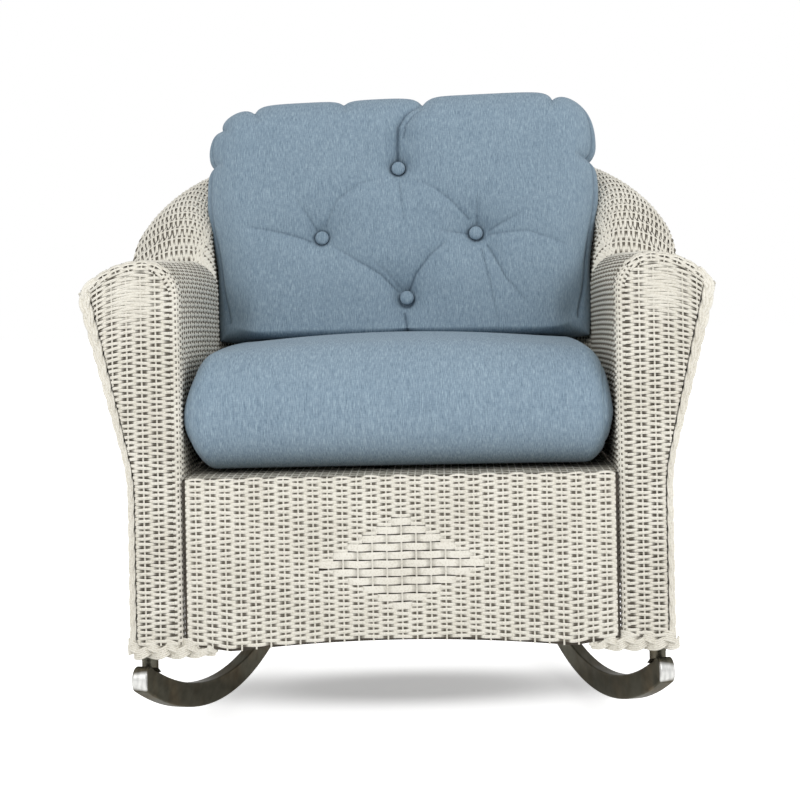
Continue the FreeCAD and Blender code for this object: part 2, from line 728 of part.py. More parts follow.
def cushion_outline(inset, height, rear, corner):
    """The seat cushion's plan less an inset: two front corners and two rear corners, drawn-in sides."""
    half = SEAT_HALF_WIDTH - CUSHION_CLEARANCE - inset
    front = FRONT + SEAT_CUSHION_FRONT + inset
    nose = max(SEAT_FRONT_CORNER - inset, SEAT_FRONT_CORNER / 2)
    tail = max(corner - inset, SEAT_FRONT_CORNER / 2)
    back = rear - inset
    drawn = min(SEAT_DRAWN_IN, inset + SEAT_DRAWN_IN)
    nose_slant = nose * CORNER_MIDDLE_SHARE
    tail_slant = tail * CORNER_MIDDLE_SHARE
    middle = (front + nose + back - tail) / 2
    right = [
        [(half - nose, front)],
        [(half - nose_slant, front + nose_slant), (half, front + nose)],
        [(half - drawn, middle), (half, back - tail)],
        [(half - tail_slant, back - tail_slant), (half - tail, back)],
    ]
    left = [
        [(-half + tail, back)],
        [(-half + tail_slant, back - tail_slant), (-half, back - tail)],
        [(-half + drawn, middle), (-half, front + nose)],
        [(-half + nose_slant, front + nose_slant), (-half + nose, front)],
    ]
    return chain([[FreeCAD.Vector(x, y, height) for x, y in step] for step in right + left])


def seat_cushion():
    """The boxed body, lofted from its bottom seam to its top seam, and the crown on it."""
    rear = FRONT + SEAT_DEPTH - CUSHION_CLEARANCE
    corner = CORNER_RADIUS - CUSHION_CLEARANCE
    low = DECK_HEIGHT + FIT
    body = []
    for up_share, inset_share in SEAT_SIDE_SHARES:
        height = low + SEAT_CUSHION_HEIGHT * up_share
        body.append(cushion_outline(SEAT_EDGE * inset_share, height, rear, corner))
    crown = []
    for in_share, up_share in SEAT_CROWN_SHARES:
        crown.append(crown_outline(in_share, SEAT_TOP + SEAT_CUSHION_CROWN * up_share))
    return Part.makeLoft(body, True, False).fuse(Part.makeLoft(crown, True, False))


def crown_outline(share, height):
    """A round-cornered oblong that shrinks towards the middle of the cushion's top."""
    inset = SEAT_EDGE + (SEAT_HALF_WIDTH - 2 * SEAT_FRONT_CORNER - SEAT_EDGE) * share
    half = SEAT_HALF_WIDTH - CUSHION_CLEARANCE - inset
    front = FRONT + SEAT_CUSHION_FRONT + SEAT_EDGE
    back = FRONT + CROWN_REAR
    narrowing = (back - front) * share * CROWN_NARROWING_SHARE
    front = front + narrowing
    back = back - narrowing
    radius = SEAT_CROWN_CORNER
    slant = radius * CORNER_MIDDLE_SHARE
    steps = [
        [(half - radius, front)],
        [(half - slant, front + slant), (half, front + radius)],
        [(half, back - radius)],
        [(half - slant, back - slant), (half - radius, back)],
        [(-half + radius, back)],
        [(-half + slant, back - slant), (-half, back - radius)],
        [(-half, front + radius)],
        [(-half + slant, front + slant), (-half + radius, front)],
    ]
    return chain([[FreeCAD.Vector(x, y, height) for x, y in step] for step in steps])


parts["seat_cushion"] = seat_cushion()

# Back cushion: a thick pillow that leans with the back, ears above the arms, pulled in by four buttons
LEAN_ANGLE = math.atan(LEAN)
PILLOW_UP = FreeCAD.Vector(0, math.sin(LEAN_ANGLE), math.cos(LEAN_ANGLE))
PILLOW_BACK = FreeCAD.Vector(0, math.cos(LEAN_ANGLE), -math.sin(LEAN_ANGLE))
PILLOW_FOOT_HEIGHT = SEAT_TOP + FIT
PILLOW_FOOT_Y = FRONT + PILLOW_SEAM_SETBACK + LEAN * (PILLOW_FOOT_HEIGHT - DECK_HEIGHT)
PILLOW_ORIGIN = FreeCAD.Vector(0, PILLOW_FOOT_Y, PILLOW_FOOT_HEIGHT)


def pillow_point(x, up, back):
    """A point of the leaning pillow: across, up its face, and back through its thickness."""
    return PILLOW_ORIGIN + ACROSS * x + PILLOW_UP * up + PILLOW_BACK * back


def pillow_outline(inset, back):
    """The pillow's outline less an inset: upright sides, ears above the arms, a slightly dipped top."""
    half = SEAT_HALF_WIDTH - CUSHION_CLEARANCE - inset
    ear = half + PILLOW_EAR * (1 - max(back, 0) / PILLOW_REAR)
    low = inset
    high = PILLOW_HEIGHT - inset
    shrink = (high - low) / PILLOW_HEIGHT
    foot = PILLOW_FOOT_CORNER * shrink
    top = PILLOW_CORNER * shrink
    waist = low + (high - low) * PILLOW_EAR_START_SHARE
    ear_low = low + (high - low) * PILLOW_EAR_END_SHARE
    foot_slant = foot * CORNER_MIDDLE_SHARE
    top_slant = top * CORNER_MIDDLE_SHARE

    def at(x, up):
        return pillow_point(x, up, back)

    right = [
        [at(half - foot, low)],
        [at(half - foot_slant, low + foot_slant), at(half, low + foot)],
        [at(half, waist)],
        [at(ear, ear_low)],
        [at(ear, high - top)],
        [at(ear - top_slant, high - top_slant), at(ear - top, high)],
    ]
    top_edge = [at(0, high - PILLOW_TOP_DIP * shrink), at(-ear + top, high)]
    left = [
        [at(-ear + top_slant, high - top_slant), at(-ear, high - top)],
        [at(-ear, ear_low)],
        [at(-half, waist)],
        [at(-half, low + foot)],
        [at(-half + foot_slant, low + foot_slant), at(-half + foot, low)],
    ]
    return chain(right + [top_edge] + left)


def pillow():
    """Outlines lofted through the thickness, cut level where the pillow stands on the seat."""
    outlines = []
    for depth_share, inset_share in PILLOW_DEPTH_SHARES:
        depth = PILLOW_REAR if depth_share > 0 else PILLOW_FRONT
        outlines.append(pillow_outline(PILLOW_END_INSET * inset_share, depth * depth_share))
    body = Part.makeLoft(outlines, True, False)
    wide = 4 * SEAT_HALF_WIDTH
    floor = Part.makeBox(wide, wide, wide, PILLOW_ORIGIN - FreeCAD.Vector(wide / 2, wide / 2, wide))
    return body.cut(floor)


# Tufts: four buttons in front and four behind, joined by twine through the filling
TUFTS = [
    (0, TUFT_HEIGHT + TUFT_RISE),
    (0, TUFT_HEIGHT - TUFT_RISE),
    (-TUFT_SPREAD, TUFT_HEIGHT),
    (TUFT_SPREAD, TUFT_HEIGHT),
]


def turned(points, x, up, back, way):
    """A profile of (radius, depth) steps turned about a tuft's axis; way points out of the pillow."""
    origin = pillow_point(x, up, back)
    spots = [[origin + ACROSS * r + PILLOW_BACK * (way * d) for r, d in step] for step in points]
    return Part.Face(chain(spots)).revolve(origin, PILLOW_BACK, 360)


def pit(x, up, back, way, depth):
    """The funnel that a button pulls into the pillow."""
    seat = BUTTON / 2 + FIT
    out_share, up_share = PIT_WAIST_SHARES
    waist = (seat + (TUFT_PIT - seat) * out_share, depth * up_share)
    profile = [[(0, 0)], [(seat, 0)], [waist, (TUFT_PIT, depth)], [(0, depth)]]
    return turned(profile, x, up, back, way)


def button(x, up, back, way):
    """A covered button: a flat back, an upright edge and a domed face on one ball."""
    half = BUTTON / 2
    climb = BUTTON_DOME - BUTTON_EDGE
    ball = (half**2 + climb**2) / (2 * climb)
    slope = math.asin(half / ball) / 2
    shoulder = (ball * math.sin(slope), FIT + BUTTON_DOME - ball * (1 - math.cos(slope)))
    profile = [[(0, FIT)], [(half, FIT)], [(half, FIT + BUTTON_EDGE)], [shoulder, (0, FIT + BUTTON_DOME)]]
    return turned(profile, x, up, back, way)


cushion = pillow()
front_buttons = []
rear_buttons = []
twines = []
for x, up in TUFTS:
    cushion = cushion.cut(pit(x, up, -TUFT_FRONT_DEPTH, -1, PILLOW_FRONT))
    cushion = cushion.cut(pit(x, up, TUFT_REAR_DEPTH, 1, PILLOW_REAR - TUFT_REAR_DEPTH + OVERRUN))
    front_buttons.append(button(x, up, -TUFT_FRONT_DEPTH, -1))
    rear_buttons.append(button(x, up, TUFT_REAR_DEPTH, 1))
    front_end = pillow_point(x, up, -TUFT_FRONT_DEPTH)
    rear_end = pillow_point(x, up, TUFT_REAR_DEPTH)
    cushion = cushion.cut(rod(front_end, rear_end, TWINE + 2 * FIT))
    twines.append(rod(front_end, rear_end, TWINE))
parts["back_cushion"] = cushion
parts["front_buttons"] = Part.makeCompound(front_buttons)
parts["rear_buttons"] = Part.makeCompound(rear_buttons)
parts["tuft_twines"] = Part.makeCompound(twines)

os.makedirs("parts", exist_ok=True)
for name in sorted(parts):
    shape = parts[name]
    shape.exportStep(os.path.join("parts", name + ".step"))
    print(name, shape.isValid(), len(shape.Solids), round(shape.Volume))
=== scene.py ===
import math

import bpy
import numpy as np
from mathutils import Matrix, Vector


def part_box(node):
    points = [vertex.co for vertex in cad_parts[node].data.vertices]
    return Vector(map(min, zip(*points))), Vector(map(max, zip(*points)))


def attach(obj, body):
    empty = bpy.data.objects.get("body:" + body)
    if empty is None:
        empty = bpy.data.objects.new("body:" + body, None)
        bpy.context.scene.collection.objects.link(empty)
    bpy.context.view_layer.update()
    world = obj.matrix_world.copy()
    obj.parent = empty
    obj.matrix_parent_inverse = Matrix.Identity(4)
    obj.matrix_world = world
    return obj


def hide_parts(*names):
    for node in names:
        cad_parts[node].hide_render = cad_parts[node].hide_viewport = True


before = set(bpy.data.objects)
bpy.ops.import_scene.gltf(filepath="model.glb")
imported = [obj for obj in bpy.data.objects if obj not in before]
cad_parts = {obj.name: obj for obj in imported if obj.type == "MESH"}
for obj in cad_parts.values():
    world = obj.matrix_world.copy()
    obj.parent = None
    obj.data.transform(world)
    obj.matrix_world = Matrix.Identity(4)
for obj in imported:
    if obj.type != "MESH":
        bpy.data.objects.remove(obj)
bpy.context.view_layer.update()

# Camera: level with the arms, a little to the right of the chair's middle, with the slight tilt of the
# photograph. The picture's shift is the photograph's own crop.
ARM_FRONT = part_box("arm_front_right")[0][1]
CAMERA_RIGHT = 0.070
CAMERA_BACK = 2.400
CAMERA_HEIGHT = 0.650
CAMERA_ROLL = 1.05
LENS = 81.2
CROP_ACROSS, CROP_UP = -0.061, -0.171
camera_data = bpy.data.cameras.new("camera")
camera_data.lens = LENS
camera_data.shift_x = CROP_ACROSS
camera_data.shift_y = CROP_UP
camera = bpy.data.objects.new("camera", camera_data)
bpy.context.scene.collection.objects.link(camera)
camera.location = (CAMERA_RIGHT, ARM_FRONT - CAMERA_BACK, CAMERA_HEIGHT)
camera.rotation_euler = (math.radians(90), math.radians(CAMERA_ROLL), 0)
bpy.context.scene.camera = camera
bpy.context.scene.view_settings.view_transform = "Standard"


# Studio: a white floor that keeps the chair's shadow, with an oval of painted shadow under the chair, a white
# surround, one large soft lamp in front at the left and a weaker one at the right. The camera sees floor and
# surround brighter than they light the chair.
def new_material(name):
    """An empty node material and its tree."""
    material = bpy.data.materials.new(name)
    material.use_nodes = True
    tree = material.node_tree
    tree.nodes.clear()
    return material, tree


def wire(tree, source, target):
    """Joins an output socket to an input socket."""
    tree.links.new(source, target)


def seen_by_camera(tree):
    """1 for rays from the camera, a mirror or glass, and 0 for those that light the chair."""
    path = tree.nodes.new("ShaderNodeLightPath")
    either = tree.nodes.new("ShaderNodeMath")
    either.operation = "MAXIMUM"
    wire(tree, path.outputs["Is Camera Ray"], either.inputs[0])
    wire(tree, path.outputs["Is Glossy Ray"], either.inputs[1])
    every = tree.nodes.new("ShaderNodeMath")
    every.operation = "MAXIMUM"
    wire(tree, either.outputs[0], every.inputs[0])
    wire(tree, path.outputs["Is Transmission Ray"], every.inputs[1])
    return every.outputs[0]


def put_out(tree, shader):
    """Makes a shader the material's surface."""
    output = tree.nodes.new("ShaderNodeOutputMaterial")
    wire(tree, shader.outputs[0], output.inputs["Surface"])


FLOOR_HALF = 14.0
FLOOR_WHITE = (0.90, 0.90, 0.90, 1)
# Painted shadow on the floor: the camera's glow is weaker in an oval under the chair, set back and sized
# here.
PAINTED_SHADOW_BACK = 0.375
PAINTED_SHADOW_PLACE = (0.0, ARM_FRONT + PAINTED_SHADOW_BACK, 0.0)
PAINTED_SHADOW_SIZE = (0.370, 0.131, 1.0)
PAINTED_SHADOW_INNER, PAINTED_SHADOW_OUTER = 0.35, 1.25
GLOW_IN_PAINTED_SHADOW, GLOW_OUTSIDE = 0.35, 0.86


def floor_material():
    """White where it is lit, grey in the chair's shadow: a diffuse share and a glow that the camera sees,
    which is weaker in an oval under the chair, a painted shadow that deepens the real one."""
    material, tree = new_material("studio_floor")
    diffuse = tree.nodes.new("ShaderNodeBsdfDiffuse")
    diffuse.inputs["Color"].default_value = FLOOR_WHITE
    place = tree.nodes.new("ShaderNodeTexCoord")
    oval = tree.nodes.new("ShaderNodeMapping")
    oval.vector_type = "TEXTURE"
    oval.inputs["Location"].default_value = PAINTED_SHADOW_PLACE
    oval.inputs["Scale"].default_value = PAINTED_SHADOW_SIZE
    wire(tree, place.outputs["Object"], oval.inputs["Vector"])
    distance = tree.nodes.new("ShaderNodeVectorMath")
    distance.operation = "LENGTH"
    wire(tree, oval.outputs[0], distance.inputs[0])
    level = tree.nodes.new("ShaderNodeMapRange")
    level.interpolation_type = "SMOOTHSTEP"
    level.inputs["From Min"].default_value = PAINTED_SHADOW_INNER
    level.inputs["From Max"].default_value = PAINTED_SHADOW_OUTER
    level.inputs["To Min"].default_value = GLOW_IN_PAINTED_SHADOW
    level.inputs["To Max"].default_value = GLOW_OUTSIDE
    wire(tree, distance.outputs["Value"], level.inputs["Value"])
    strength = tree.nodes.new("ShaderNodeMath")
    strength.operation = "MULTIPLY"
    wire(tree, seen_by_camera(tree), strength.inputs[0])
    wire(tree, level.outputs[0], strength.inputs[1])
    glow = tree.nodes.new("ShaderNodeEmission")
    wire(tree, strength.outputs[0], glow.inputs["Strength"])
    both = tree.nodes.new("ShaderNodeAddShader")
    wire(tree, diffuse.outputs[0], both.inputs[0])
    wire(tree, glow.outputs[0], both.inputs[1])
    put_out(tree, both)
    return material


floor_mesh = bpy.data.meshes.new("floor")
floor_corners = [(-FLOOR_HALF, -FLOOR_HALF, 0), (FLOOR_HALF, -FLOOR_HALF, 0),
                 (FLOOR_HALF, FLOOR_HALF, 0), (-FLOOR_HALF, FLOOR_HALF, 0)]
floor_mesh.from_pydata(floor_corners, [], [(0, 1, 2, 3)])
floor_mesh.materials.append(floor_material())
floor = bpy.data.objects.new("floor", floor_mesh)
bpy.context.scene.collection.objects.link(floor)

world = bpy.data.worlds.new("studio")
bpy.context.scene.world = world
world.use_nodes = True
world_tree = world.node_tree
world_tree.nodes.clear()
WORLD_WHITE = (1, 1, 1, 1)
WORLD_LIGHT, WORLD_SEEN = 0.70, 1.0
surround = world_tree.nodes.new("ShaderNodeBackground")
surround.inputs["Color"].default_value = WORLD_WHITE
brightness = world_tree.nodes.new("ShaderNodeMapRange")
brightness.inputs["To Min"].default_value = WORLD_LIGHT
brightness.inputs["To Max"].default_value = WORLD_SEEN
wire(world_tree, seen_by_camera(world_tree), brightness.inputs["Value"])
wire(world_tree, brightness.outputs[0], surround.inputs["Strength"])
world_output = world_tree.nodes.new("ShaderNodeOutputWorld")
wire(world_tree, surround.outputs[0], world_output.inputs["Surface"])


def soft_lamp(name, place, aim, size, power):
    """A square area lamp at a place, turned so that its beam, which leaves along -Z, meets an aim: a tilt
    from straight down, then a turn about the vertical."""
    data = bpy.data.lights.new(name, "AREA")
    data.size = size
    data.energy = power
    lamp = bpy.data.objects.new(name, data)
    bpy.context.scene.collection.objects.link(lamp)
    way = np.array(aim) - np.array(place)
    lamp.location = place
    tilt = math.atan2(math.hypot(way[0], way[1]), -way[2])
    lamp.rotation_euler = (tilt, 0, math.atan2(-way[0], way[1]))


LAMP_AIM = (0, 0, 0.4)
KEY_PLACE, KEY_SIZE, KEY_POWER = (-1.0, -3.1, 2.4), 2.2, 53
SIDE_PLACE, SIDE_SIZE, SIDE_POWER = (2.6, -1.6, 1.6), 1.8, 26
soft_lamp("key_lamp", KEY_PLACE, LAMP_AIM, KEY_SIZE, KEY_POWER)
soft_lamp("side_lamp", SIDE_PLACE, LAMP_AIM, SIDE_SIZE, SIDE_POWER)

# Woven tub: two skins of round resin cord on stiff stakes, one inside and one outside, over a bent steel
# frame. The cords (wefts) pass over and under the stakes and are painted cream; low in the weave they go
# dark, as worn paint and painted shade, over a dark lining that is painted shade.
# A place on a skin is a stake, counted from the right arm's front, and metres along the section there.
SEAT_HALF_WIDTH = 0.290
CORNER_X = 0.160
ARM_LENGTH = 0.418
CORNER_Y = ARM_FRONT + ARM_LENGTH
CORNER_RADIUS = 0.130
CAP_DEPTH = 0.016
TUB_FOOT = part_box("seat_deck")[0][2]
DECK_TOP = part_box("seat_deck")[1][2]
HEM_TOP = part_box("arm_outer_skin_right")[0][2]
ARM_TOP = 0.661
BACK_RISE = 0.178
EARLY_RISE = 0.8
LEAN_ANGLE = math.radians(11.4)
LEAN = math.tan(LEAN_ANGLE)
ARM_ROLL, BACK_ROLL = 0.050, 0.040
ARM_REACH, BACK_REACH = 0.136, 0.178
ARM_DROP, BACK_DROP = 0.043, 0.034
TUB_WALL = 0.074
SKIN = 0.004
FLARE_HEIGHT = 0.343
FLARE_BEND = 0.250
FIT = 0.0003
ARM_STAKES, CORNER_STAKES, BACK_STAKES = 21, 24, 17
STAKE_ENDS = np.cumsum([0, ARM_STAKES, CORNER_STAKES, BACK_STAKES, CORNER_STAKES, ARM_STAKES])
LAST_STAKE = int(STAKE_ENDS[-1])
WEFT_PITCH = 0.0039


def tub_turn(stake):
    """The way outwards on plan, in radians: 0 along the right arm, a quarter turn at the back."""
    return np.radians(np.interp(stake, STAKE_ENDS, [0, 0, 90, 90, 180, 180]))


def tub_foot(stake):
    """The inner wall's foot on plan: straight arm, round corner, straight back, and the same mirrored."""
    turn = tub_turn(stake)
    centre_x = np.interp(stake, STAKE_ENDS, [CORNER_X] * 3 + [-CORNER_X] * 3)
    arm = CORNER_Y - (ARM_FRONT + CAP_DEPTH)
    forward = np.interp(stake, STAKE_ENDS, [arm, 0, 0, 0, 0, arm])
    return centre_x + CORNER_RADIUS * np.cos(turn), CORNER_Y + CORNER_RADIUS * np.sin(turn) - forward


def tub_place(stake, out, up, normal_out, normal_up):
    """Section points (out, up) carried round the plan: foot plus the outward way times out, and up."""
    turn = tub_turn(stake)
    x, y = tub_foot(stake)
    points = np.stack([x + np.cos(turn) * out, y + np.sin(turn) * out, up + 0 * out], -1)
    normals = np.stack([np.cos(turn) * normal_out, np.sin(turn) * normal_out, normal_up + 0 * out], -1)
    return points, normals


def roll_sizes(stake):
    """Lean, rim height, near radius, how far out the roll's centre is, far radius, far arc's angle and the
    wall's length. All go from the arm's sizes to the back's with the sine of the turn, and the rim's height
    rises early. The far arc meets a chord: its radius is (flat squared + drop squared) / (2 drop)."""
    sine = np.abs(np.sin(tub_turn(stake)))
    lean = np.arctan(LEAN * sine)
    rim = ARM_TOP + BACK_RISE * sine * (1 + EARLY_RISE * (1 - sine) ** 2)
    near = ARM_ROLL + (BACK_ROLL - ARM_ROLL) * sine
    reach = ARM_REACH + (BACK_REACH - ARM_REACH) * sine
    drop = ARM_DROP + (BACK_DROP - ARM_DROP) * sine
    wall_top = rim - near * (1 - np.sin(lean))
    centre = np.tan(lean) * (wall_top - TUB_FOOT) + near * np.cos(lean)
    flat = reach - centre
    far = (flat ** 2 + drop ** 2) / (2 * drop)
    return lean, rim, near, centre, far, np.arcsin(flat / far), (wall_top - TUB_FOOT) / np.cos(lean)


def inner_length(stake):
    """Length of the inner section: wall, near arc and far arc."""
    lean, rim, near, centre, far, far_angle, wall = roll_sizes(stake)
    return wall + near * (np.pi / 2 - lean) + far * far_angle


RIB = 0.0014
RIB_START, RIB_REACH, RIB_FADE = 0.015, 0.150, 0.080
CORNER_STEEPNESS = 4


def ribs(stake, from_rim):
    """How far the stakes push the wings out: a wave that peaks on each stake, for a hand's breadth inside
    the rim, round the two corners only. The corners' share is the sine of twice the turn, steepened."""
    quarter = np.clip(tub_turn(stake) % (np.pi / 2 + 1e-9), 0, np.pi / 2)
    corner = np.clip(np.sin(2 * quarter) * CORNER_STEEPNESS, 0, 1)
    inside = np.clip(from_rim / RIB_START, 0, 1) * np.clip((RIB_REACH - from_rim) / RIB_FADE, 0, 1)
    return RIB * np.cos(2 * np.pi * stake) * inside * corner


def inner_tub(stake, along):
    """The inner skin, along metres up its section: a leaning wall, an arc of the near radius over the
    inner edge, then an arc of the far radius down to the rim's edge."""
    lean, rim, near, centre, far, far_angle, wall = roll_sizes(stake)
    near_length = near * (np.pi / 2 - lean)
    turn = np.clip(lean + (along - wall) / near, lean, np.pi / 2)
    bend = np.clip((along - wall - near_length) / far, 0, None)
    on_wall = along < wall
    on_near = along < wall + near_length
    wall_along = np.minimum(along, wall)
    roll_out = np.where(on_near, centre - near * np.cos(turn), centre + far * np.sin(bend))
    roll_up = np.where(on_near, rim - near + near * np.sin(turn), rim - far + far * np.cos(bend))
    out = np.where(on_wall, np.sin(lean) * wall_along, roll_out)
    up = np.where(on_wall, TUB_FOOT + np.cos(lean) * wall_along, roll_up)
    normal_out = np.where(on_near, -np.cos(turn), np.sin(bend))
    normal_up = np.where(on_near, np.sin(turn), np.cos(bend))
    points, normals = tub_place(stake, out, up, normal_out, normal_up)
    from_rim = wall + near_length + far * far_angle - along
    return points + normals * ribs(stake, from_rim)[..., None], normals


def flare_angle(out, climb):
    """The slope of a flare that bends out of an upright wall by the flare's radius R and runs straight on to
    (out, climb): twice the arc tangent of (climb - root of (climb squared - out (2R - out))) / (2R - out)."""
    spare = 2 * FLARE_BEND - out
    return 2 * np.arctan((climb - np.sqrt(climb ** 2 - out * spare)) / spare)


def outer_sizes(stake):
    """Angle of the outer skin's flare and length of its straight run up to the rim's edge."""
    lean, rim, near, centre, far, far_angle, wall = roll_sizes(stake)
    out = centre + far * np.sin(far_angle) - TUB_WALL
    climb = rim - far + (far - SKIN) * np.cos(far_angle) - FIT - FLARE_HEIGHT
    angle = flare_angle(out, climb)
    return angle, (climb - FLARE_BEND * np.sin(angle)) / np.cos(angle)


def outer_length(stake):
    """Length of the outer section, from the hem to the rim."""
    angle, run = outer_sizes(stake)
    return FLARE_HEIGHT - HEM_TOP + FLARE_BEND * angle + run


def outer_tub(stake, along):
    """The outer skin, along metres up its section: an upright wall, a bend and a straight flare."""
    angle, run = outer_sizes(stake)
    straight = FLARE_HEIGHT - HEM_TOP
    bend = np.clip((along - straight) / FLARE_BEND, 0, angle)
    past = np.clip(along - straight - FLARE_BEND * angle, 0, None)
    out = TUB_WALL + FLARE_BEND * (1 - np.cos(bend)) + past * np.sin(angle)
    flare_up = FLARE_HEIGHT + FLARE_BEND * np.sin(bend) + past * np.cos(angle)
    up = np.where(along < straight, HEM_TOP + along, flare_up)
    return tub_place(stake, out, up, np.cos(bend), -np.sin(bend))


def add_attribute(mesh, name, values):
    """A number per vertex, which the materials read by its name."""
    layer = mesh.attributes.new(name, "FLOAT", "POINT")
    layer.data.foreach_set("value", np.ascontiguousarray(values, dtype=np.float32).ravel())


def new_piece(name, vertices, faces, material, crest=None):
    """A smooth mesh piece at the origin from a vertex array and a quad array. The crest attribute is a
    cord's height in its weave, which sets its paint and painted shade, or on a cushion how much painted
    shade a fold, a seam or a button's ring gets."""
    mesh = bpy.data.meshes.new(name)
    vertices = np.ascontiguousarray(vertices, dtype=np.float32)
    faces = np.ascontiguousarray(faces, dtype=np.int32)
    mesh.vertices.add(len(vertices))
    mesh.vertices.foreach_set("co", vertices.ravel())
    mesh.loops.add(faces.size)
    mesh.loops.foreach_set("vertex_index", faces.ravel())
    mesh.polygons.add(len(faces))
    mesh.polygons.foreach_set("loop_start", np.arange(len(faces), dtype=np.int32) * faces.shape[1])
    mesh.polygons.foreach_set("use_smooth", np.full(len(faces), True))
    mesh.update(calc_edges=True)
    mesh.validate()
    if crest is not None:
        add_attribute(mesh, "crest", crest)
    mesh.materials.append(material)
    piece = bpy.data.objects.new(name, mesh)
    bpy.context.scene.collection.objects.link(piece)
    return piece


WAVE_POWER = 0.65


def over_under(phase):
    """A weft's height over its stakes, from 1 over to -1 under: a cosine whose size is raised to a power
    under 1, which keeps it level on the stakes and quick to change between them."""
    wave = np.cos(np.pi * phase)
    return np.sign(wave) * np.abs(wave) ** WAVE_POWER


def strip_faces(shape, keep, flip):
    """Quads of many strips, each three points across. shape is (strips, samples, 3), and keep says which
    steps of a strip show."""
    strips, samples, across = shape
    index = np.arange(strips * samples * across).reshape(shape)
    quads = np.stack([index[:, :-1, :-1], index[:, 1:, :-1], index[:, 1:, 1:], index[:, :-1, 1:]], -1)
    quads = quads[keep]
    return (quads[..., ::-1] if flip else quads).reshape(-1, 4)


# A weave is a cord's edge height and crest height, its half width in pitches, how far it goes over and
# under, how much paint its edges carry (less is worn paint and painted shade between the cords), and how
# much of the over and under shows in the colour, as worn paint and painted shade where a cord dips.
PLAIN_WEAVE = (-0.0012, 0.0006, 0.60, 0.0013, 0.90, 1.0)
RIDGED_WEAVE = (-0.0015, 0.0010, 0.51, 0.0004, 0.90, 0.15)
WEAVE_DEPTH = -0.0010
STAKE_HALF, STAKE_EDGE, STAKE_CREST = 0.0012, -0.0010, 0.0006
# Stakes' colour across: paint on the crest, and edges darkened as worn paint and painted shade where they go
# into the weave.
STAKE_PAINT_AND_SHADE = [0.30, 0.85, 0.30]
BACKING_DEPTH = -0.0034
HAND_WANDER = 0.004


def uneven(rows, stakes):
    """A hand's unevenness: a slow wander of the rows, the sum of two sines of stake and row, the same on
    every build."""
    return 0.16 * np.sin(stakes * 0.83 + rows * 0.19) + 0.12 * np.sin(stakes * 2.9 + rows * 1.7)


def cord_rows(surface, stakes, along, wave, keep, flip, pitch, rows=0, weave=PLAIN_WEAVE):
    """Wefts as raised strips: two low edges and a crest, set off along the normal by the weave's depth, its
    wave and their own height. The crest attribute is the wave from 0 to 1, times the paint: low values give
    worn paint and painted shade, where a weft goes under and at its edges."""
    low, high, half, sway, edge_paint_and_shade, paint_and_shade_sway = weave
    along = along + uneven(rows, stakes) * HAND_WANDER * paint_and_shade_sway
    wave = wave * (1 + 0.12 * np.sin(rows * 2.3 + stakes * 1.1))
    sides, crests = [], []
    # The edges and the dips get lower crests: worn paint and painted shade between and under the cords.
    for side, lift, paint in ((-1, low, edge_paint_and_shade), (0, high, 1.0), (1, low, edge_paint_and_shade)):
        points, normals = surface(stakes, along + side * half * pitch)
        sides.append(points + normals * (WEAVE_DEPTH + sway * wave + lift)[..., None])
        crests.append((0.5 + 0.5 * wave * paint_and_shade_sway) * paint)
    vertices = np.stack(sides, 2)
    steps = keep[:, :-1] & keep[:, 1:]
    faces = strip_faces(vertices.shape[:3], steps, flip)
    return vertices.reshape(-1, 3), faces, np.stack(crests, 2).ravel()


def stake_columns(surface, stakes, along, keep, flip):
    """Stakes as raised strips along the section, three points across: two low edges and a crest."""
    points, normals = surface(stakes, along)
    way = surface(stakes + 0.01, along)[0] - surface(stakes - 0.01, along)[0]
    way = way / np.maximum(np.linalg.norm(way, axis=-1, keepdims=True), 1e-6)
    sides = []
    for side, lift in ((1, STAKE_EDGE), (0, STAKE_CREST), (-1, STAKE_EDGE)):
        sides.append(points + way * side * STAKE_HALF + normals * (WEAVE_DEPTH + lift))
    vertices = np.stack(sides, 2)
    faces = strip_faces(vertices.shape[:3], keep[:, :-1] & keep[:, 1:], flip)
    crest = np.tile(STAKE_PAINT_AND_SHADE, vertices.shape[0] * vertices.shape[1])
    return vertices.reshape(-1, 3), faces, crest


def joined(sets):
    """Several (vertices, faces, crest) sets as one."""
    start, vertices, faces, crests = 0, [], [], []
    for points, quads, crest in sets:
        vertices.append(points)
        faces.append(quads + start)
        crests.append(crest)
        start += len(points)
    return np.concatenate(vertices), np.concatenate(faces), np.concatenate(crests)


def used_only(vertices, faces, crest):
    """The set without the vertices that no face uses."""
    used, index = np.unique(faces, return_inverse=True)
    return vertices[used], index.reshape(faces.shape), crest[used]


def sheet_faces(index):
    """Quads of a sheet from its grid of vertex numbers: along a row, on to the next row and back."""
    return np.stack([index[:-1, :-1], index[:-1, 1:], index[1:, 1:], index[1:, :-1]], -1).reshape(-1, 4)


SAG_POWER, SAG_FADE = 1.5, 0.1
STAKE_STEPS, LINING_STEPS = 90, 40
# Stakes within the ridged wall rows get the weave's darkest colour: worn paint and painted shade in the gaps
# between ridges.
HIDDEN_STAKE_PAINT_AND_SHADE = 0.05


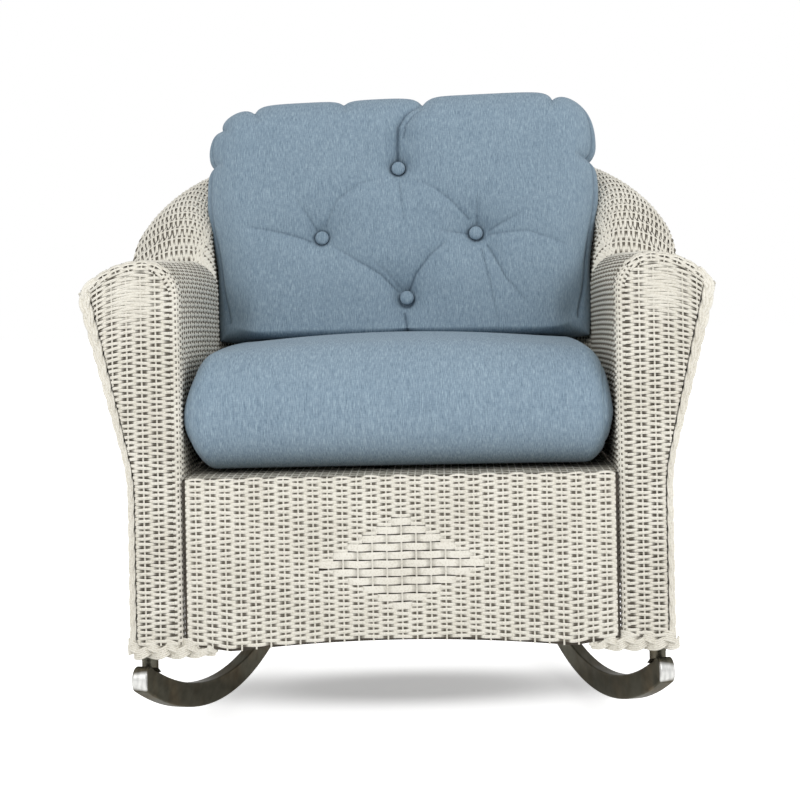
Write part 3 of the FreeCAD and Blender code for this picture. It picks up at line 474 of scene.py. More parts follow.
def woven(name, surface, length, samples, first, last, band, rim_weave, foot_weave, sag, flip, replaced):
    """A woven stretch of the tub between two stakes: rows that follow the rim down to the band's depth,
    level rows from the foot up to that band, the stakes, and a dark lining behind them, painted shade for the
    hollow seen through the gaps. The rows have a number of samples between stakes. The level rows sag
    towards the back by up to sag metres."""
    stakes = np.linspace(first, last, (last - first) * samples + 1)
    total = length(stakes)
    depth = np.interp(stakes, *band)
    dip = sag * np.clip(np.minimum(stakes, LAST_STAKE - stakes) / ARM_STAKES, 0, 1) ** SAG_POWER
    sets = []
    pitch, weave = rim_weave
    rows, grid = np.meshgrid(np.arange(int(depth.max() / pitch)), stakes, indexing="ij")
    down = (rows + 0.5) * pitch
    wave = over_under(grid + rows)
    keep = down < depth
    along = total - down - dip * np.clip(down / SAG_FADE, 0, 1)
    sets.append(cord_rows(surface, grid, along, wave, keep, flip, pitch, rows, weave))
    pitch, weave = foot_weave
    rows, grid = np.meshgrid(np.arange(int((total - depth + dip).max() / pitch) + 1), stakes, indexing="ij")
    up = (rows + 0.5) * pitch
    wave = over_under(grid + rows)
    keep = (up < total - depth + dip * np.clip(depth / SAG_FADE, 0, 1) + pitch / 2) & (up > dip)
    sets.append(cord_rows(surface, grid, np.maximum(up - dip, 0), wave, keep, flip, pitch, rows, weave))
    every_stake = np.arange(first, last + 1.0)
    columns, steps = np.meshgrid(every_stake, np.linspace(0, 1, STAKE_STEPS), indexing="ij")
    reach = length(columns) * steps
    everywhere = np.ones(reach.shape, bool)
    stake_points, stake_quads, stake_crest = stake_columns(surface, columns, reach, everywhere, flip)
    # Stakes that show only in the gaps between ridged rows: darkened as worn paint and painted shade.
    if weave is RIDGED_WEAVE:
        hidden = np.repeat(reach.ravel() < (length(columns) - np.interp(columns, *band)).ravel(), 3)
        stake_crest = np.where(hidden, HIDDEN_STAKE_PAINT_AND_SHADE, stake_crest)
    sets.append((stake_points, stake_quads, stake_crest))
    vertices, faces, crest = used_only(*joined(sets))
    piece = new_piece(name, vertices, faces, WEAVE_PAINT_AND_SHADE, crest)
    steps, grid = np.meshgrid(np.linspace(0, 1, LINING_STEPS), every_stake, indexing="ij")
    points, normals = surface(grid, steps * length(grid))
    backing = (points + normals * BACKING_DEPTH).reshape(-1, 3)
    quads = sheet_faces(np.arange(len(backing)).reshape(grid.shape))
    lining = new_piece(name + "_lining", backing, quads[:, ::-1] if flip else quads, GAP_SHADE)
    for made in (piece, lining):
        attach(made, "chair")
    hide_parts(replaced)


def noise(tree, scale, detail, stretch=(1, 1, 1), place=None):
    """Noise on Object coordinates, or on another place given, stretched by a Mapping node."""
    place = place or tree.nodes.new("ShaderNodeTexCoord").outputs["Object"]
    mapping = tree.nodes.new("ShaderNodeMapping")
    mapping.inputs["Scale"].default_value = stretch
    wire(tree, place, mapping.inputs["Vector"])
    texture = tree.nodes.new("ShaderNodeTexNoise")
    texture.inputs["Scale"].default_value = scale
    texture.inputs["Detail"].default_value = detail
    wire(tree, mapping.outputs[0], texture.inputs["Vector"])
    return texture.outputs["Fac"]


def ramp(tree, value, stops):
    """A colour ramp through (place, colour) stops."""
    node = tree.nodes.new("ShaderNodeValToRGB")
    node.color_ramp.elements[0].position = stops[0][0]
    node.color_ramp.elements[0].color = (*stops[0][1], 1)
    node.color_ramp.elements[1].position = stops[-1][0]
    node.color_ramp.elements[1].color = (*stops[-1][1], 1)
    for place, colour in stops[1:-1]:
        node.color_ramp.elements.new(place).color = (*colour, 1)
    wire(tree, value, node.inputs["Fac"])
    return node.outputs["Color"]


def mixed(tree, factor, first, second, blend="MIX"):
    """A mix of two colours, by a socket or a number."""
    node = tree.nodes.new("ShaderNodeMix")
    node.data_type = "RGBA"
    node.blend_type = blend
    for value, socket in ((factor, node.inputs[0]), (first, node.inputs[6]), (second, node.inputs[7])):
        if isinstance(value, bpy.types.NodeSocket):
            wire(tree, value, socket)
        elif isinstance(value, tuple):
            socket.default_value = (*value, 1)
        else:
            socket.default_value = value
    return node.outputs[2]


def coat(tree, colour, settings):
    """A principled shader with a colour socket and settings by name, as the material's surface."""
    shader = tree.nodes.new("ShaderNodeBsdfPrincipled")
    for name, value in settings.items():
        shader.inputs[name].default_value = value
    wire(tree, colour, shader.inputs["Base Color"])
    put_out(tree, shader)
    return shader


WHITE, BLACK = (1, 1, 1), (0, 0, 0)
CREAM_WORN, CREAM_FULL = (0.66, 0.63, 0.55), (0.78, 0.755, 0.68)
CREAM_SPECK = (0.66, 0.63, 0.56)
# Low in the weave: bare dark cord where the paint is worn, and painted shade in the dips and between cords.
BARE_CORD_AND_SHADE = (0.115, 0.100, 0.075)


def weave_paint_and_shade():
    """Cream paint that is thick on the cords' crests and goes to dark brown low in the weave: worn paint
    there, and painted shade where the cords dip and between them.
    """
    material, tree = new_material("cream_weave")
    crest = tree.nodes.new("ShaderNodeAttribute")
    crest.attribute_name = "crest"
    cream = ramp(tree, noise(tree, 14, 4), [(0.25, CREAM_WORN), (0.75, CREAM_FULL)])
    specks = ramp(tree, noise(tree, 420, 2), [(0.30, CREAM_SPECK), (0.52, WHITE)])
    paint = mixed(tree, 0.5, cream, specks, "MULTIPLY")
    paint_and_shade_mix = ramp(tree, crest.outputs["Fac"], [(0.08, BLACK), (0.34, WHITE)])
    colour = mixed(tree, paint_and_shade_mix, BARE_CORD_AND_SHADE, paint)
    coat(tree, colour, {"Roughness": 0.62})
    return material


# Painted shade behind the weave: the linings' dark brown stands in for the shaded hollow seen through the
# gaps.
GAP_SHADE_DEEP, GAP_SHADE_LIGHT = (0.030, 0.024, 0.018), (0.075, 0.062, 0.046)


def gap_shade():
    """Painted shade: the dark brown seen deep between the cords, a little lighter in random places."""
    material, tree = new_material("weave_gap_shade")
    colour = ramp(tree, noise(tree, 60, 3), [(0.3, GAP_SHADE_DEEP), (0.8, GAP_SHADE_LIGHT)])
    coat(tree, colour, {"Roughness": 0.9})
    return material


WEAVE_PAINT_AND_SHADE = weave_paint_and_shade()
GAP_SHADE = gap_shade()
ARM_END = ARM_STAKES
BACK_END = LAST_STAKE - ARM_STAKES
# A run of rows is its pitch and its weave, and a band is how deep the run at the rim is along the stakes.
RIM_PITCH, WALL_PITCH = 0.0036, 0.0070
INNER_RIM = (RIM_PITCH, PLAIN_WEAVE)
INNER_WALL = (WALL_PITCH, RIDGED_WEAVE)
OUTER = (WEFT_PITCH, PLAIN_WEAVE)
INNER_SAMPLES, OUTER_SAMPLES = 5, 4
ARM_BAND, BACK_BAND, OUTSIDE_BAND = 0.112, 0.260, 0.160
INNER_BAND = (STAKE_ENDS, [ARM_BAND, ARM_BAND, BACK_BAND, BACK_BAND, ARM_BAND, ARM_BAND])
OUTER_BAND = (STAKE_ENDS, [OUTSIDE_BAND] * 6)
INNER_SAG = 0.014
for label, first, last in (("arm_{}_right", 0, ARM_END), ("back_{}", ARM_END, BACK_END),
                           ("arm_{}_left", BACK_END, LAST_STAKE)):
    node = label.replace("{}", "{}_skin")
    woven("weave_" + label.format("inner"), inner_tub, inner_length, INNER_SAMPLES, first, last, INNER_BAND,
          INNER_RIM, INNER_WALL, INNER_SAG, True, node.format("inner"))
    woven("weave_" + label.format("outer"), outer_tub, outer_length, OUTER_SAMPLES, first, last, OUTER_BAND,
          OUTER, OUTER, 0, False, node.format("outer"))

# Arm fronts: shallow caps of the same painted cord that close each arm. Level wefts cross upright stakes, and
# wrap round a rounded edge into the arm's inner side and over its roll.
FRONT_WEAVE = (-0.0014, 0.0006, 0.55, 0.0019, 0.80, 1.0)
CAP_ROUND = 0.013
BRAID_FOOT, BRAID_HEAD = 0.009, 0.016
BRAID_LAP = 0.007
CAP_STAKE, CAP_STAKES = 0.0193, 6
ROLL_CENTRE_X = SEAT_HALF_WIDTH + ARM_ROLL
ROLL_CENTRE_Z = ARM_TOP - ARM_ROLL
ROLL_FLAT = ARM_REACH - ARM_ROLL
ROLL_FAR = (ROLL_FLAT ** 2 + ARM_DROP ** 2) / (2 * ARM_DROP)
ROLL_FAR_Z = ARM_TOP - ROLL_FAR
BRAID_EDGE_ANGLE = math.asin((ROLL_FLAT - BRAID_HEAD + BRAID_LAP) / ROLL_FAR)
CAP_GAP = 0.0016
NEAR_SHARE = 0.5
LEVEL_HEIGHT, BEND_POWER = 0.380, 1.4


def flared(wall_out, edge_out, edge_up, up):
    """How far out a wall is at a height: upright, then an arc, then straight on to (edge_out, edge_up)."""
    angle = flare_angle(edge_out - wall_out, edge_up - FLARE_HEIGHT)
    bend_top = FLARE_HEIGHT + FLARE_BEND * math.sin(angle)
    over = np.clip(up - FLARE_HEIGHT, 0, FLARE_BEND * math.sin(angle))
    bent = FLARE_BEND - np.sqrt(FLARE_BEND ** 2 - over ** 2)
    return wall_out + bent + np.clip(up - bend_top, 0, None) * math.tan(angle)


def cap_limits(up, inset):
    """Inner and outer x of the cap's flat face at a height, inset from its rounded edges."""
    near = ARM_ROLL - inset
    above = np.clip(up - ROLL_CENTRE_Z, 0, near)
    inner = ROLL_CENTRE_X - np.sqrt(near ** 2 - above ** 2)
    far = ROLL_FAR - inset
    over_far = np.sqrt(np.clip(far ** 2 - (up - ROLL_FAR_Z) ** 2, 0, None))
    roll_top = np.where(up > ROLL_FAR_Z, ROLL_CENTRE_X + over_far, SEAT_HALF_WIDTH + ARM_REACH)
    braid = SEAT_HALF_WIDTH + flared(TUB_WALL - BRAID_FOOT, ARM_REACH - BRAID_HEAD, ARM_TOP - ARM_DROP, up)
    return inner, np.maximum(np.minimum(roll_top, braid - CAP_GAP), inner)


def bent_row(x, up):
    """The height of a row at x: level inside, and bent down outside like the roll's top, more so near it."""
    past = np.clip(x - ROLL_CENTRE_X, 0, ROLL_FLAT)
    fall = ROLL_FAR - np.sqrt(ROLL_FAR ** 2 - past ** 2)
    nearness = np.clip((up - LEVEL_HEIGHT) / (ARM_TOP - CAP_ROUND - LEVEL_HEIGHT), 0, 1)
    return up - fall * nearness ** BEND_POWER


def cap_face(side):
    """The cap's flat face as a surface of (x in stakes, row height), mirrored for the left arm."""
    def surface(stake, up):
        x = SEAT_HALF_WIDTH + CAP_ROUND + stake * CAP_STAKE
        z = bent_row(x, up)
        inner, outer = cap_limits(z, CAP_ROUND)
        x = np.clip(x, inner, outer)
        points = np.stack([side * x, np.full_like(x, ARM_FRONT), z + 0 * x], -1)
        return points, np.broadcast_to(np.array([0.0, -1.0, 0.0]), points.shape)
    return surface


def cap_edge(side):
    """The cap's rounded edge: an outline (upright, near arc, far arc) turned a quarter of the way round
    the rounding, then straight back to the arm. Its parameters are metres round the edge and along it."""
    upright = ROLL_CENTRE_Z - HEM_TOP
    near_length = ARM_ROLL * np.pi / 2

    def surface(round_edge, along):
        bend = np.clip((along - upright) / ARM_ROLL, 0, np.pi / 2)
        far = np.clip((along - upright - near_length) / ROLL_FAR, 0, None)
        on_far = along > upright + near_length
        out_x = np.where(on_far, np.sin(far), -np.cos(bend))
        out_z = np.where(on_far, np.cos(far), np.sin(bend))
        x = np.where(on_far, ROLL_CENTRE_X + ROLL_FAR * np.sin(far), ROLL_CENTRE_X - ARM_ROLL * np.cos(bend))
        z = np.where(on_far, ROLL_FAR_Z + ROLL_FAR * np.cos(far), ROLL_CENTRE_Z + ARM_ROLL * np.sin(bend))
        z = np.where(along < upright, HEM_TOP + along, z)
        turn = np.clip(round_edge / CAP_ROUND, 0, np.pi / 2)
        back = np.clip(round_edge - CAP_ROUND * np.pi / 2, 0, None)
        inward = CAP_ROUND * (1 - np.sin(turn))
        points = np.stack([side * (x - out_x * inward), ARM_FRONT + CAP_ROUND * (1 - np.cos(turn)) + back,
                           z - out_z * inward], -1)
        normals = np.stack([side * out_x * np.sin(turn), -np.cos(turn), out_z * np.sin(turn)], -1)
        return points, normals
    return surface


PATCH_X, PATCH_HEIGHT = 0.355, 0.612
PATCH_HALF, PATCH_TALL = 0.027, 0.030
PATCH_FLATTENS, PATCH_FILLS = 0.85, 0.35


def clogged(x, up, wave):
    """The weave's wave, flattened and filled where paint has clogged a patch below the arm's roll: a bell
    curve across and up."""
    patch = np.exp(-((np.abs(x) - PATCH_X) / PATCH_HALF) ** 2 - ((up - PATCH_HEIGHT) / PATCH_TALL) ** 2)
    return wave * (1 - PATCH_FLATTENS * patch) + PATCH_FILLS * patch


FACE_SAMPLES = 6
TOP_PITCH = WEFT_PITCH * 0.9


def cap_face_sets(side, flip):
    """The cap's flat face: level rows and upright stakes, each kept inside the face's limits."""
    heights = np.arange(HEM_TOP + WEFT_PITCH / 2, ARM_TOP - CAP_ROUND, WEFT_PITCH)
    stake, up = np.meshgrid(np.arange(0, CAP_STAKES + 0.01, 1 / FACE_SAMPLES), heights)
    x = SEAT_HALF_WIDTH + CAP_ROUND + stake * CAP_STAKE
    inner, outer = cap_limits(bent_row(x, up), CAP_ROUND)
    inside = (x > inner - CAP_STAKE / 4) & (x < outer + CAP_STAKE / 4)
    rows = np.arange(len(heights))[:, None]
    face = cap_face(side)
    wave = clogged(x, up, over_under(stake + rows))
    face_rows = cord_rows(face, stake, up, wave, inside, flip, WEFT_PITCH, rows, FRONT_WEAVE)
    steps = np.linspace(HEM_TOP, ARM_TOP - CAP_ROUND, STAKE_STEPS)
    stake, up = np.meshgrid(np.arange(1.0, CAP_STAKES), steps, indexing="ij")
    x = SEAT_HALF_WIDTH + CAP_ROUND + stake * CAP_STAKE
    inner, outer = cap_limits(bent_row(x, up), CAP_ROUND)
    return [face_rows, stake_columns(face, stake, up, (x > inner) & (x < outer), not flip)]


ROUND_LENGTH = CAP_ROUND * np.pi / 2 + (CAP_DEPTH - CAP_ROUND)
NEAR_END = ROLL_CENTRE_Z - HEM_TOP + ARM_ROLL * np.pi / 2 * NEAR_SHARE
EDGE_LENGTH = ROLL_CENTRE_Z - HEM_TOP + ARM_ROLL * np.pi / 2 + ROLL_FAR * BRAID_EDGE_ANGLE


def cap_edge_sets(edge, flip):
    """The cap's rounded edge: the face's rows wrap round it up to the roll, with one stake in its middle.
    Over the roll, rows run along it and short stakes cross them."""
    alongs = np.arange(WEFT_PITCH / 2, NEAR_END, WEFT_PITCH)
    turned, along = np.meshgrid(np.linspace(0, ROUND_LENGTH, 13), alongs)
    rows = np.arange(len(alongs))[:, None]
    wave = over_under(2 * turned / ROUND_LENGTH + rows)
    wrapped = cord_rows(edge, turned, along, wave, np.ones(wave.shape, bool), not flip, WEFT_PITCH)
    over = (EDGE_LENGTH - NEAR_END) / CAP_STAKE
    across = np.linspace(0, over, int(over * FACE_SAMPLES) + 1)
    stake, turned = np.meshgrid(across, np.arange(WEFT_PITCH * 0.3, ROUND_LENGTH, TOP_PITCH))
    rows = np.arange(len(turned))[:, None]
    wave = np.cos(np.pi * (stake + rows))

    def over_edge(stake, turned):
        return edge(turned, NEAR_END + stake * CAP_STAKE)

    top_rows = cord_rows(over_edge, stake, turned, wave, np.ones(wave.shape, bool), flip, TOP_PITCH, rows)
    stake, turned = np.meshgrid(np.arange(1.0, over), np.linspace(0, ROUND_LENGTH, 12), indexing="ij")
    top_stakes = stake_columns(over_edge, stake, turned, np.ones(stake.shape, bool), not flip)
    turned, along = np.meshgrid(np.array([ROUND_LENGTH * 0.5]), np.linspace(0, NEAR_END, 120), indexing="ij")
    side_stake = stake_columns(edge, turned, along, np.ones(along.shape, bool), flip)
    return [wrapped, top_rows, top_stakes, side_stake]


def cap_lining(name, side, edge):
    """The lining, dark as painted shade: the rounded edge's surface and a flat plate between its limits, set
    back alike.
    """
    turned, along = np.meshgrid(np.linspace(0, ROUND_LENGTH, 5), np.linspace(0, EDGE_LENGTH, STAKE_STEPS))
    points, normals = edge(turned, along)
    shell = (points + normals * BACKING_DEPTH).reshape(-1, 3)
    shell_quads = sheet_faces(np.arange(len(shell)).reshape(along.shape))
    heights = np.linspace(HEM_TOP, ARM_TOP - CAP_ROUND, 60)
    plate_x = np.stack(cap_limits(heights, CAP_ROUND), 1)
    plate_up = np.stack([heights, heights], 1)
    plate_y = np.full_like(plate_x, ARM_FRONT - BACKING_DEPTH)
    plate = np.stack([side * plate_x, plate_y, plate_up], -1).reshape(-1, 3)
    plate_quads = sheet_faces(np.arange(len(plate)).reshape(plate_x.shape) + len(shell))
    quads = np.concatenate([shell_quads, plate_quads])
    return new_piece(name, np.concatenate([shell, plate]), quads, GAP_SHADE)


def arm_front(name, side, replaced):
    """The woven cap and its lining: flat face and rounded edge, mirrored for the left arm."""
    flip = side < 0
    edge = cap_edge(side)
    vertices, faces, crest = used_only(*joined(cap_face_sets(side, flip) + cap_edge_sets(edge, flip)))
    piece = new_piece(name, vertices, faces, WEAVE_PAINT_AND_SHADE, crest)
    lining = cap_lining(name + "_lining", side, edge)
    for made in (piece, lining):
        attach(made, "chair")
    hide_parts(replaced)


arm_front("weave_arm_front_right", 1, "arm_front_right")
arm_front("weave_arm_front_left", -1, "arm_front_left")

# Front apron: the woven panel of the same cords under the seat, with a lozenge in its middle, where cords
# nearly three times as wide stand up as blocks. Its top edge is rolled over the front seat rail, and its
# foot is a low arch. The dark lining behind it, painted shade, turns back at both ends, so that no light
# comes past it.
BAND_WEAVE = (-0.0005, 0.0004, 0.43, 0.0010, 0.9, 0.50)
APRON_HALF = 0.2864
APRON_STAKE = 0.0195
APRON_PITCH = 0.00387
APRON_ROUND = 0.006
APRON_ARCH_RISE, APRON_LOW_DROP, APRON_LOW_X = 0.002, 0.010, 0.225
ARCH_FADE = 0.080
LINING_RETURN = 0.016
BLOCK_PITCH = 0.0112
LOZENGE_ROWS = 11
LOZENGE_RISE = 0.1035
LOZENGE_HEIGHT = HEM_TOP + LOZENGE_RISE
BLOCK_OVERLAP = 0.4
BLOCK_SAMPLES = 12


def apron_foot(x):
    """The apron's lower edge: straight ends that drop to the arch, and an arc that rises to the middle, whose
    radius is (chord squared + climb squared) / (2 climb)."""
    chord, climb = APRON_LOW_X, APRON_LOW_DROP + APRON_ARCH_RISE
    radius = (chord ** 2 + climb ** 2) / (2 * climb)
    arch = HEM_TOP + APRON_ARCH_RISE - radius + np.sqrt(radius ** 2 - np.minimum(np.abs(x), chord) ** 2)
    share = np.clip((np.abs(x) - APRON_LOW_X) / (APRON_HALF - APRON_LOW_X), 0, 1)
    return np.where(np.abs(x) < APRON_LOW_X, arch, HEM_TOP - APRON_LOW_DROP * (1 - share))


def apron_face(stake, up):
    """The apron's surface: upright to the rounding, then a quarter turn back over the seat rail."""
    x = np.clip(stake * APRON_STAKE, -APRON_HALF, APRON_HALF)
    flat_top = DECK_TOP - APRON_ROUND
    turn = np.clip((up - flat_top) / APRON_ROUND, 0, np.pi / 2)
    z = np.where(up < flat_top, up, flat_top + APRON_ROUND * np.sin(turn))
    points = np.stack([x + 0 * z, ARM_FRONT + APRON_ROUND * (1 - np.cos(turn)) + 0 * x, z + 0 * x], -1)
    normals = np.stack([0 * z * x, -np.cos(turn) + 0 * x, np.sin(turn) + 0 * x], -1)
    return points, normals


def block_reach(row):
    """How many stakes a row of blocks reaches either way from the middle: 1 at the ends and 6 half way up."""
    return LOZENGE_ROWS // 2 + 1 - np.abs(row - LOZENGE_ROWS // 2)


apron_reach = APRON_HALF / APRON_STAKE
apron_top = DECK_TOP - APRON_ROUND + APRON_ROUND * np.pi / 2
apron_stakes = np.clip(np.arange(-15, 15.01, 1 / FACE_SAMPLES), -apron_reach, apron_reach)
lozenge_foot = LOZENGE_HEIGHT - LOZENGE_ROWS * BLOCK_PITCH / 2
first_row = -int((lozenge_foot - HEM_TOP) / APRON_PITCH)
apron_rows = np.arange(first_row, int((apron_top - lozenge_foot) / APRON_PITCH))
stake_grid, row_grid = np.meshgrid(apron_stakes, apron_rows)
up_grid = lozenge_foot + (row_grid + 0.5) * APRON_PITCH
reach = block_reach(np.floor((up_grid - lozenge_foot) / BLOCK_PITCH))
plain = (up_grid > HEM_TOP) & (np.abs(stake_grid) > reach - BLOCK_OVERLAP)
near_foot = np.clip(1 - (up_grid - HEM_TOP) / ARCH_FADE, 0, 1)
up_grid = up_grid + (apron_foot(stake_grid * APRON_STAKE) - HEM_TOP) * near_foot
plain_wave = over_under(stake_grid + row_grid)
apron_sets = [cord_rows(apron_face, stake_grid, up_grid, plain_wave, plain, False, APRON_PITCH, row_grid)]
stake_grid, row_grid = np.meshgrid(np.arange(-6, 6.01, 1 / BLOCK_SAMPLES), np.arange(LOZENGE_ROWS))
up_grid = lozenge_foot + (row_grid + 0.5) * BLOCK_PITCH
reach = block_reach(row_grid)
block_wave = -over_under(stake_grid - reach)
in_block = np.abs(stake_grid) < reach
apron_sets.append(cord_rows(apron_face, stake_grid, up_grid, block_wave, in_block, False, BLOCK_PITCH, 0,
                            BAND_WEAVE))
columns, steps = np.meshgrid(np.arange(-14.0, 15.0), np.linspace(0, 1, 60), indexing="ij")
column_foot = apron_foot(columns * APRON_STAKE)
heights = column_foot + (apron_top - column_foot) * steps
apron_sets.append(stake_columns(apron_face, columns, heights, np.ones(heights.shape, bool), True))
vertices, faces, crest = used_only(*joined(apron_sets))
apron = new_piece("weave_apron", vertices, faces, WEAVE_PAINT_AND_SHADE, crest)
lining_columns = np.linspace(-apron_reach, apron_reach, 40)[[0] + list(range(40)) + [-1]]
columns, steps = np.meshgrid(lining_columns, np.linspace(0, 1, 30))
column_foot = apron_foot(columns * APRON_STAKE)
points, normals = apron_face(columns, column_foot + (apron_top - column_foot) * steps)
lining_points = (points + normals * BACKING_DEPTH).reshape(-1, 3)
lining_points[:, 0] *= (SEAT_HALF_WIDTH - FIT) / APRON_HALF
index = np.arange(len(lining_points)).reshape(columns.shape)
lining_points[index[:, [0, -1]].ravel(), 1] += LINING_RETURN
apron_lining = new_piece("weave_apron_lining", lining_points, sheet_faces(index), GAP_SHADE)
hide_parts("front_apron")

# Seat deck: an open mesh of thin cords on close stakes over flat, unpainted cane, laid on the seat's slats
# and woven into the tub's foot. It shows in front of the cushion, and wholly when the cushion is out.
MESH_WEAVE = (-0.0003, 0.0002, 0.07, 0.0002, 0.8, 0.3)
DECK_PITCH = 0.0200
DECK_LAP = 0.001
CANE_DARK, CANE_LIGHT = (0.20, 0.18, 0.14), (0.34, 0.31, 0.25)
deck_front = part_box("seat_deck")[0][1] - DECK_LAP
deck_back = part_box("seat_deck")[1][1]


def plain_finish(name, dark, light, roughness):
    """A dull finish that varies a little between two colours."""
    material, tree = new_material(name)
    colour = ramp(tree, noise(tree, 90, 4), [(0.35, dark), (0.65, light)])
    coat(tree, colour, {"Roughness": roughness})
    return material


def deck_edge(back):
    """Half the seat's width at a place back: level, then a quarter turn round each rear corner."""
    past = np.clip(back - CORNER_Y, 0, CORNER_RADIUS)
    return CORNER_X + np.sqrt(CORNER_RADIUS ** 2 - past ** 2) - DECK_LAP


def deck_face(stake, back):
    """The flat seat, with x counted in stakes and metres back, kept inside the round rear corners."""
    half = deck_edge(back)
    x = np.clip(stake * APRON_STAKE, -half, half)
    points = np.stack([x + 0 * back, back + 0 * x, DECK_TOP + 0 * x + 0 * back], -1)
    return points, np.broadcast_to(np.array([0.0, 0.0, 1.0]), points.shape)


backs = np.arange(deck_front + DECK_PITCH / 2, deck_back, DECK_PITCH)
stake_grid, back_grid = np.meshgrid(np.arange(-15, 15.01, 1 / BLOCK_SAMPLES), backs)
rows = np.arange(len(backs))[:, None]
deck_wave = np.cos(np.pi * (2 * stake_grid + rows))
within = np.abs(stake_grid * APRON_STAKE) < deck_edge(back_grid)
deck_sets = [cord_rows(deck_face, stake_grid, back_grid, deck_wave, within, False, DECK_PITCH, rows,
                       MESH_WEAVE)]
half_stakes, deck_steps = np.arange(-14.5, 15, 0.5), np.linspace(deck_front, deck_back, 60)
columns, back_grid = np.meshgrid(half_stakes, deck_steps, indexing="ij")
within = np.abs(columns * APRON_STAKE) < deck_edge(back_grid)
deck_sets.append(stake_columns(deck_face, columns, back_grid, within, True))
vertices, faces, crest = used_only(*joined(deck_sets))
deck = new_piece("weave_deck", vertices, faces, WEAVE_PAINT_AND_SHADE, crest)
columns, back_grid = np.meshgrid(np.linspace(-15, 15, 30), np.linspace(deck_front, deck_back, 40))
points, normals = deck_face(columns, back_grid)
lining_points = (points + normals * BACKING_DEPTH / 2).reshape(-1, 3)
lining_quads = sheet_faces(np.arange(len(lining_points)).reshape(columns.shape))
deck_cane = plain_finish("deck_cane", CANE_DARK, CANE_LIGHT, 0.8)
deck_lining = new_piece("weave_deck_lining", lining_points, lining_quads, deck_cane)
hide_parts("seat_deck")
for made in (apron, apron_lining, deck, deck_lining):
    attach(made, "chair")

# Braids: plaited cord down the outer edge of each arm front and under it, twisted cord round the foot of the
# tub and along its rim, all in the same painted cord. They are wound over the ends of the weave.
BRAID_DEPTH = 0.015
BRAID_CLIMB = 0.019
BRAID_TOP = ARM_TOP - ARM_DROP + BRAID_CLIMB
EDGE_STRAND_SHARE, EDGE_DEPTH_SHARE = 0.50, 0.35
HEAD_TALL, HEAD_LEAN, HEAD_SHRINK = 0.034, 0.021, 0.55
BINDING_RADIUS, BINDING_INSET, BINDING_DEPTH, BINDING_LEAN = 0.0040, 0.0038, 0.0125, 0.030
FOOT_TURN = 0.012
FOOT_TALL = 0.026
FOOT_DEPTH, FOOT_DROP = 0.006, 0.005
FOOT_TIP = 0.249
FOOT_TIP_SHARE, FOOT_TIP_POWER, FOOT_STRAND_SHARE = 0.25, 0.6, 0.25
HEM_INSET, HEM_DROP = 0.002, 0.0078
HEM_HALF_TALL, HEM_HALF_DEEP, HEM_CORD = 0.0052, 0.0022, 0.0042
RIM_INSET = 0.0025
RIM_HALF, RIM_CORD = 0.0016, 0.0019
RING_POINTS = 8
# A strand's crest: cream paint, or painted shadow for a strand named as dark.
CORD_PAINT, STRAND_SHADOW, PAINT_RIPPLE = 0.62, 0.02, 0.2


def frames(path):
    """Unit directions along a path of points: the differences of neighbours, made one long."""
    way = np.gradient(path, axis=0)
    return way / np.linalg.norm(way, axis=1, keepdims=True)


def cords(path, side, half_side, half_depth, radius, turns, strands, plait, lay=(0,), dark=()):
    """Strands wound along a path. A strand's centre goes round an oval of two half sizes (a twist: cosine
    across, sine deep), or crosses it in a figure of eight (a plait: cosine across, sine of twice the angle
    deep). A strand is one cord or several laid side by side at places counted in radii, and a cord's section
    is a circle of eight points that closes at both ends. Strands named as dark are painted shadow, not cream."""
    way = frames(path)
    side = side - way * (side * way).sum(1, keepdims=True)
    side = side / np.linalg.norm(side, axis=1, keepdims=True)
    other = np.cross(way, side)
    length = np.concatenate([[0], np.cumsum(np.linalg.norm(np.diff(path, axis=0), axis=1))])
    angle = 2 * np.pi * turns * length / length[-1]
    radius = np.broadcast_to(radius, len(path))
    sets = []
    for strand in range(strands):
        phase = angle + 2 * np.pi * strand / strands
        across = np.cos(phase)
        deep = np.sin(2 * phase) if plait else np.sin(phase)
        middle = path + side * (half_side * across)[:, None] + other * (half_depth * deep)[:, None]
        tangent = frames(middle)
        up = side - tangent * (side * tangent).sum(1, keepdims=True)
        up = up / np.linalg.norm(up, axis=1, keepdims=True)
        beside = np.cross(tangent, up)
        round_angle = np.linspace(0, 2 * np.pi, RING_POINTS, endpoint=False)
        ring = up[:, None] * np.cos(round_angle)[:, None] + beside[:, None] * np.sin(round_angle)[:, None]
        for place in lay:
            cord = radius * (1 if len(lay) == 1 else 1.3 / len(lay))
            centre = middle + up * (place * radius)[:, None]
            vertices = centre[:, None] + ring * cord[:, None, None]
            index = np.arange(len(path) * RING_POINTS).reshape(len(path), RING_POINTS)
            following = np.roll(index, -1, axis=1)
            quads = np.stack([index[:-1], following[:-1], following[1:], index[1:]], -1).reshape(-1, 4)
            first, last = index[0], index[-1]
            ends = [first[[0, 3, 2, 1]], first[[0, 5, 4, 3]], first[[0, 7, 6, 5]],
                    last[[0, 1, 2, 3]], last[[0, 3, 4, 5]], last[[0, 5, 6, 7]]]
            shade = STRAND_SHADOW if strand in dark else CORD_PAINT
            crest = shade + PAINT_RIPPLE * shade * np.cos(round_angle * 3)[None] + 0 * centre[:, :1]
            sets.append((vertices.reshape(-1, 3), np.concatenate([quads, ends]), crest.ravel()))
    return joined(sets)


def braid(name, replaced, *sets):
    """A braid piece from its wound strands."""
    vertices, faces, crest = joined(sets)
    piece = new_piece(name, vertices, faces, WEAVE_PAINT_AND_SHADE, crest)
    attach(piece, "chair")
    if replaced:
        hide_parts(*replaced)


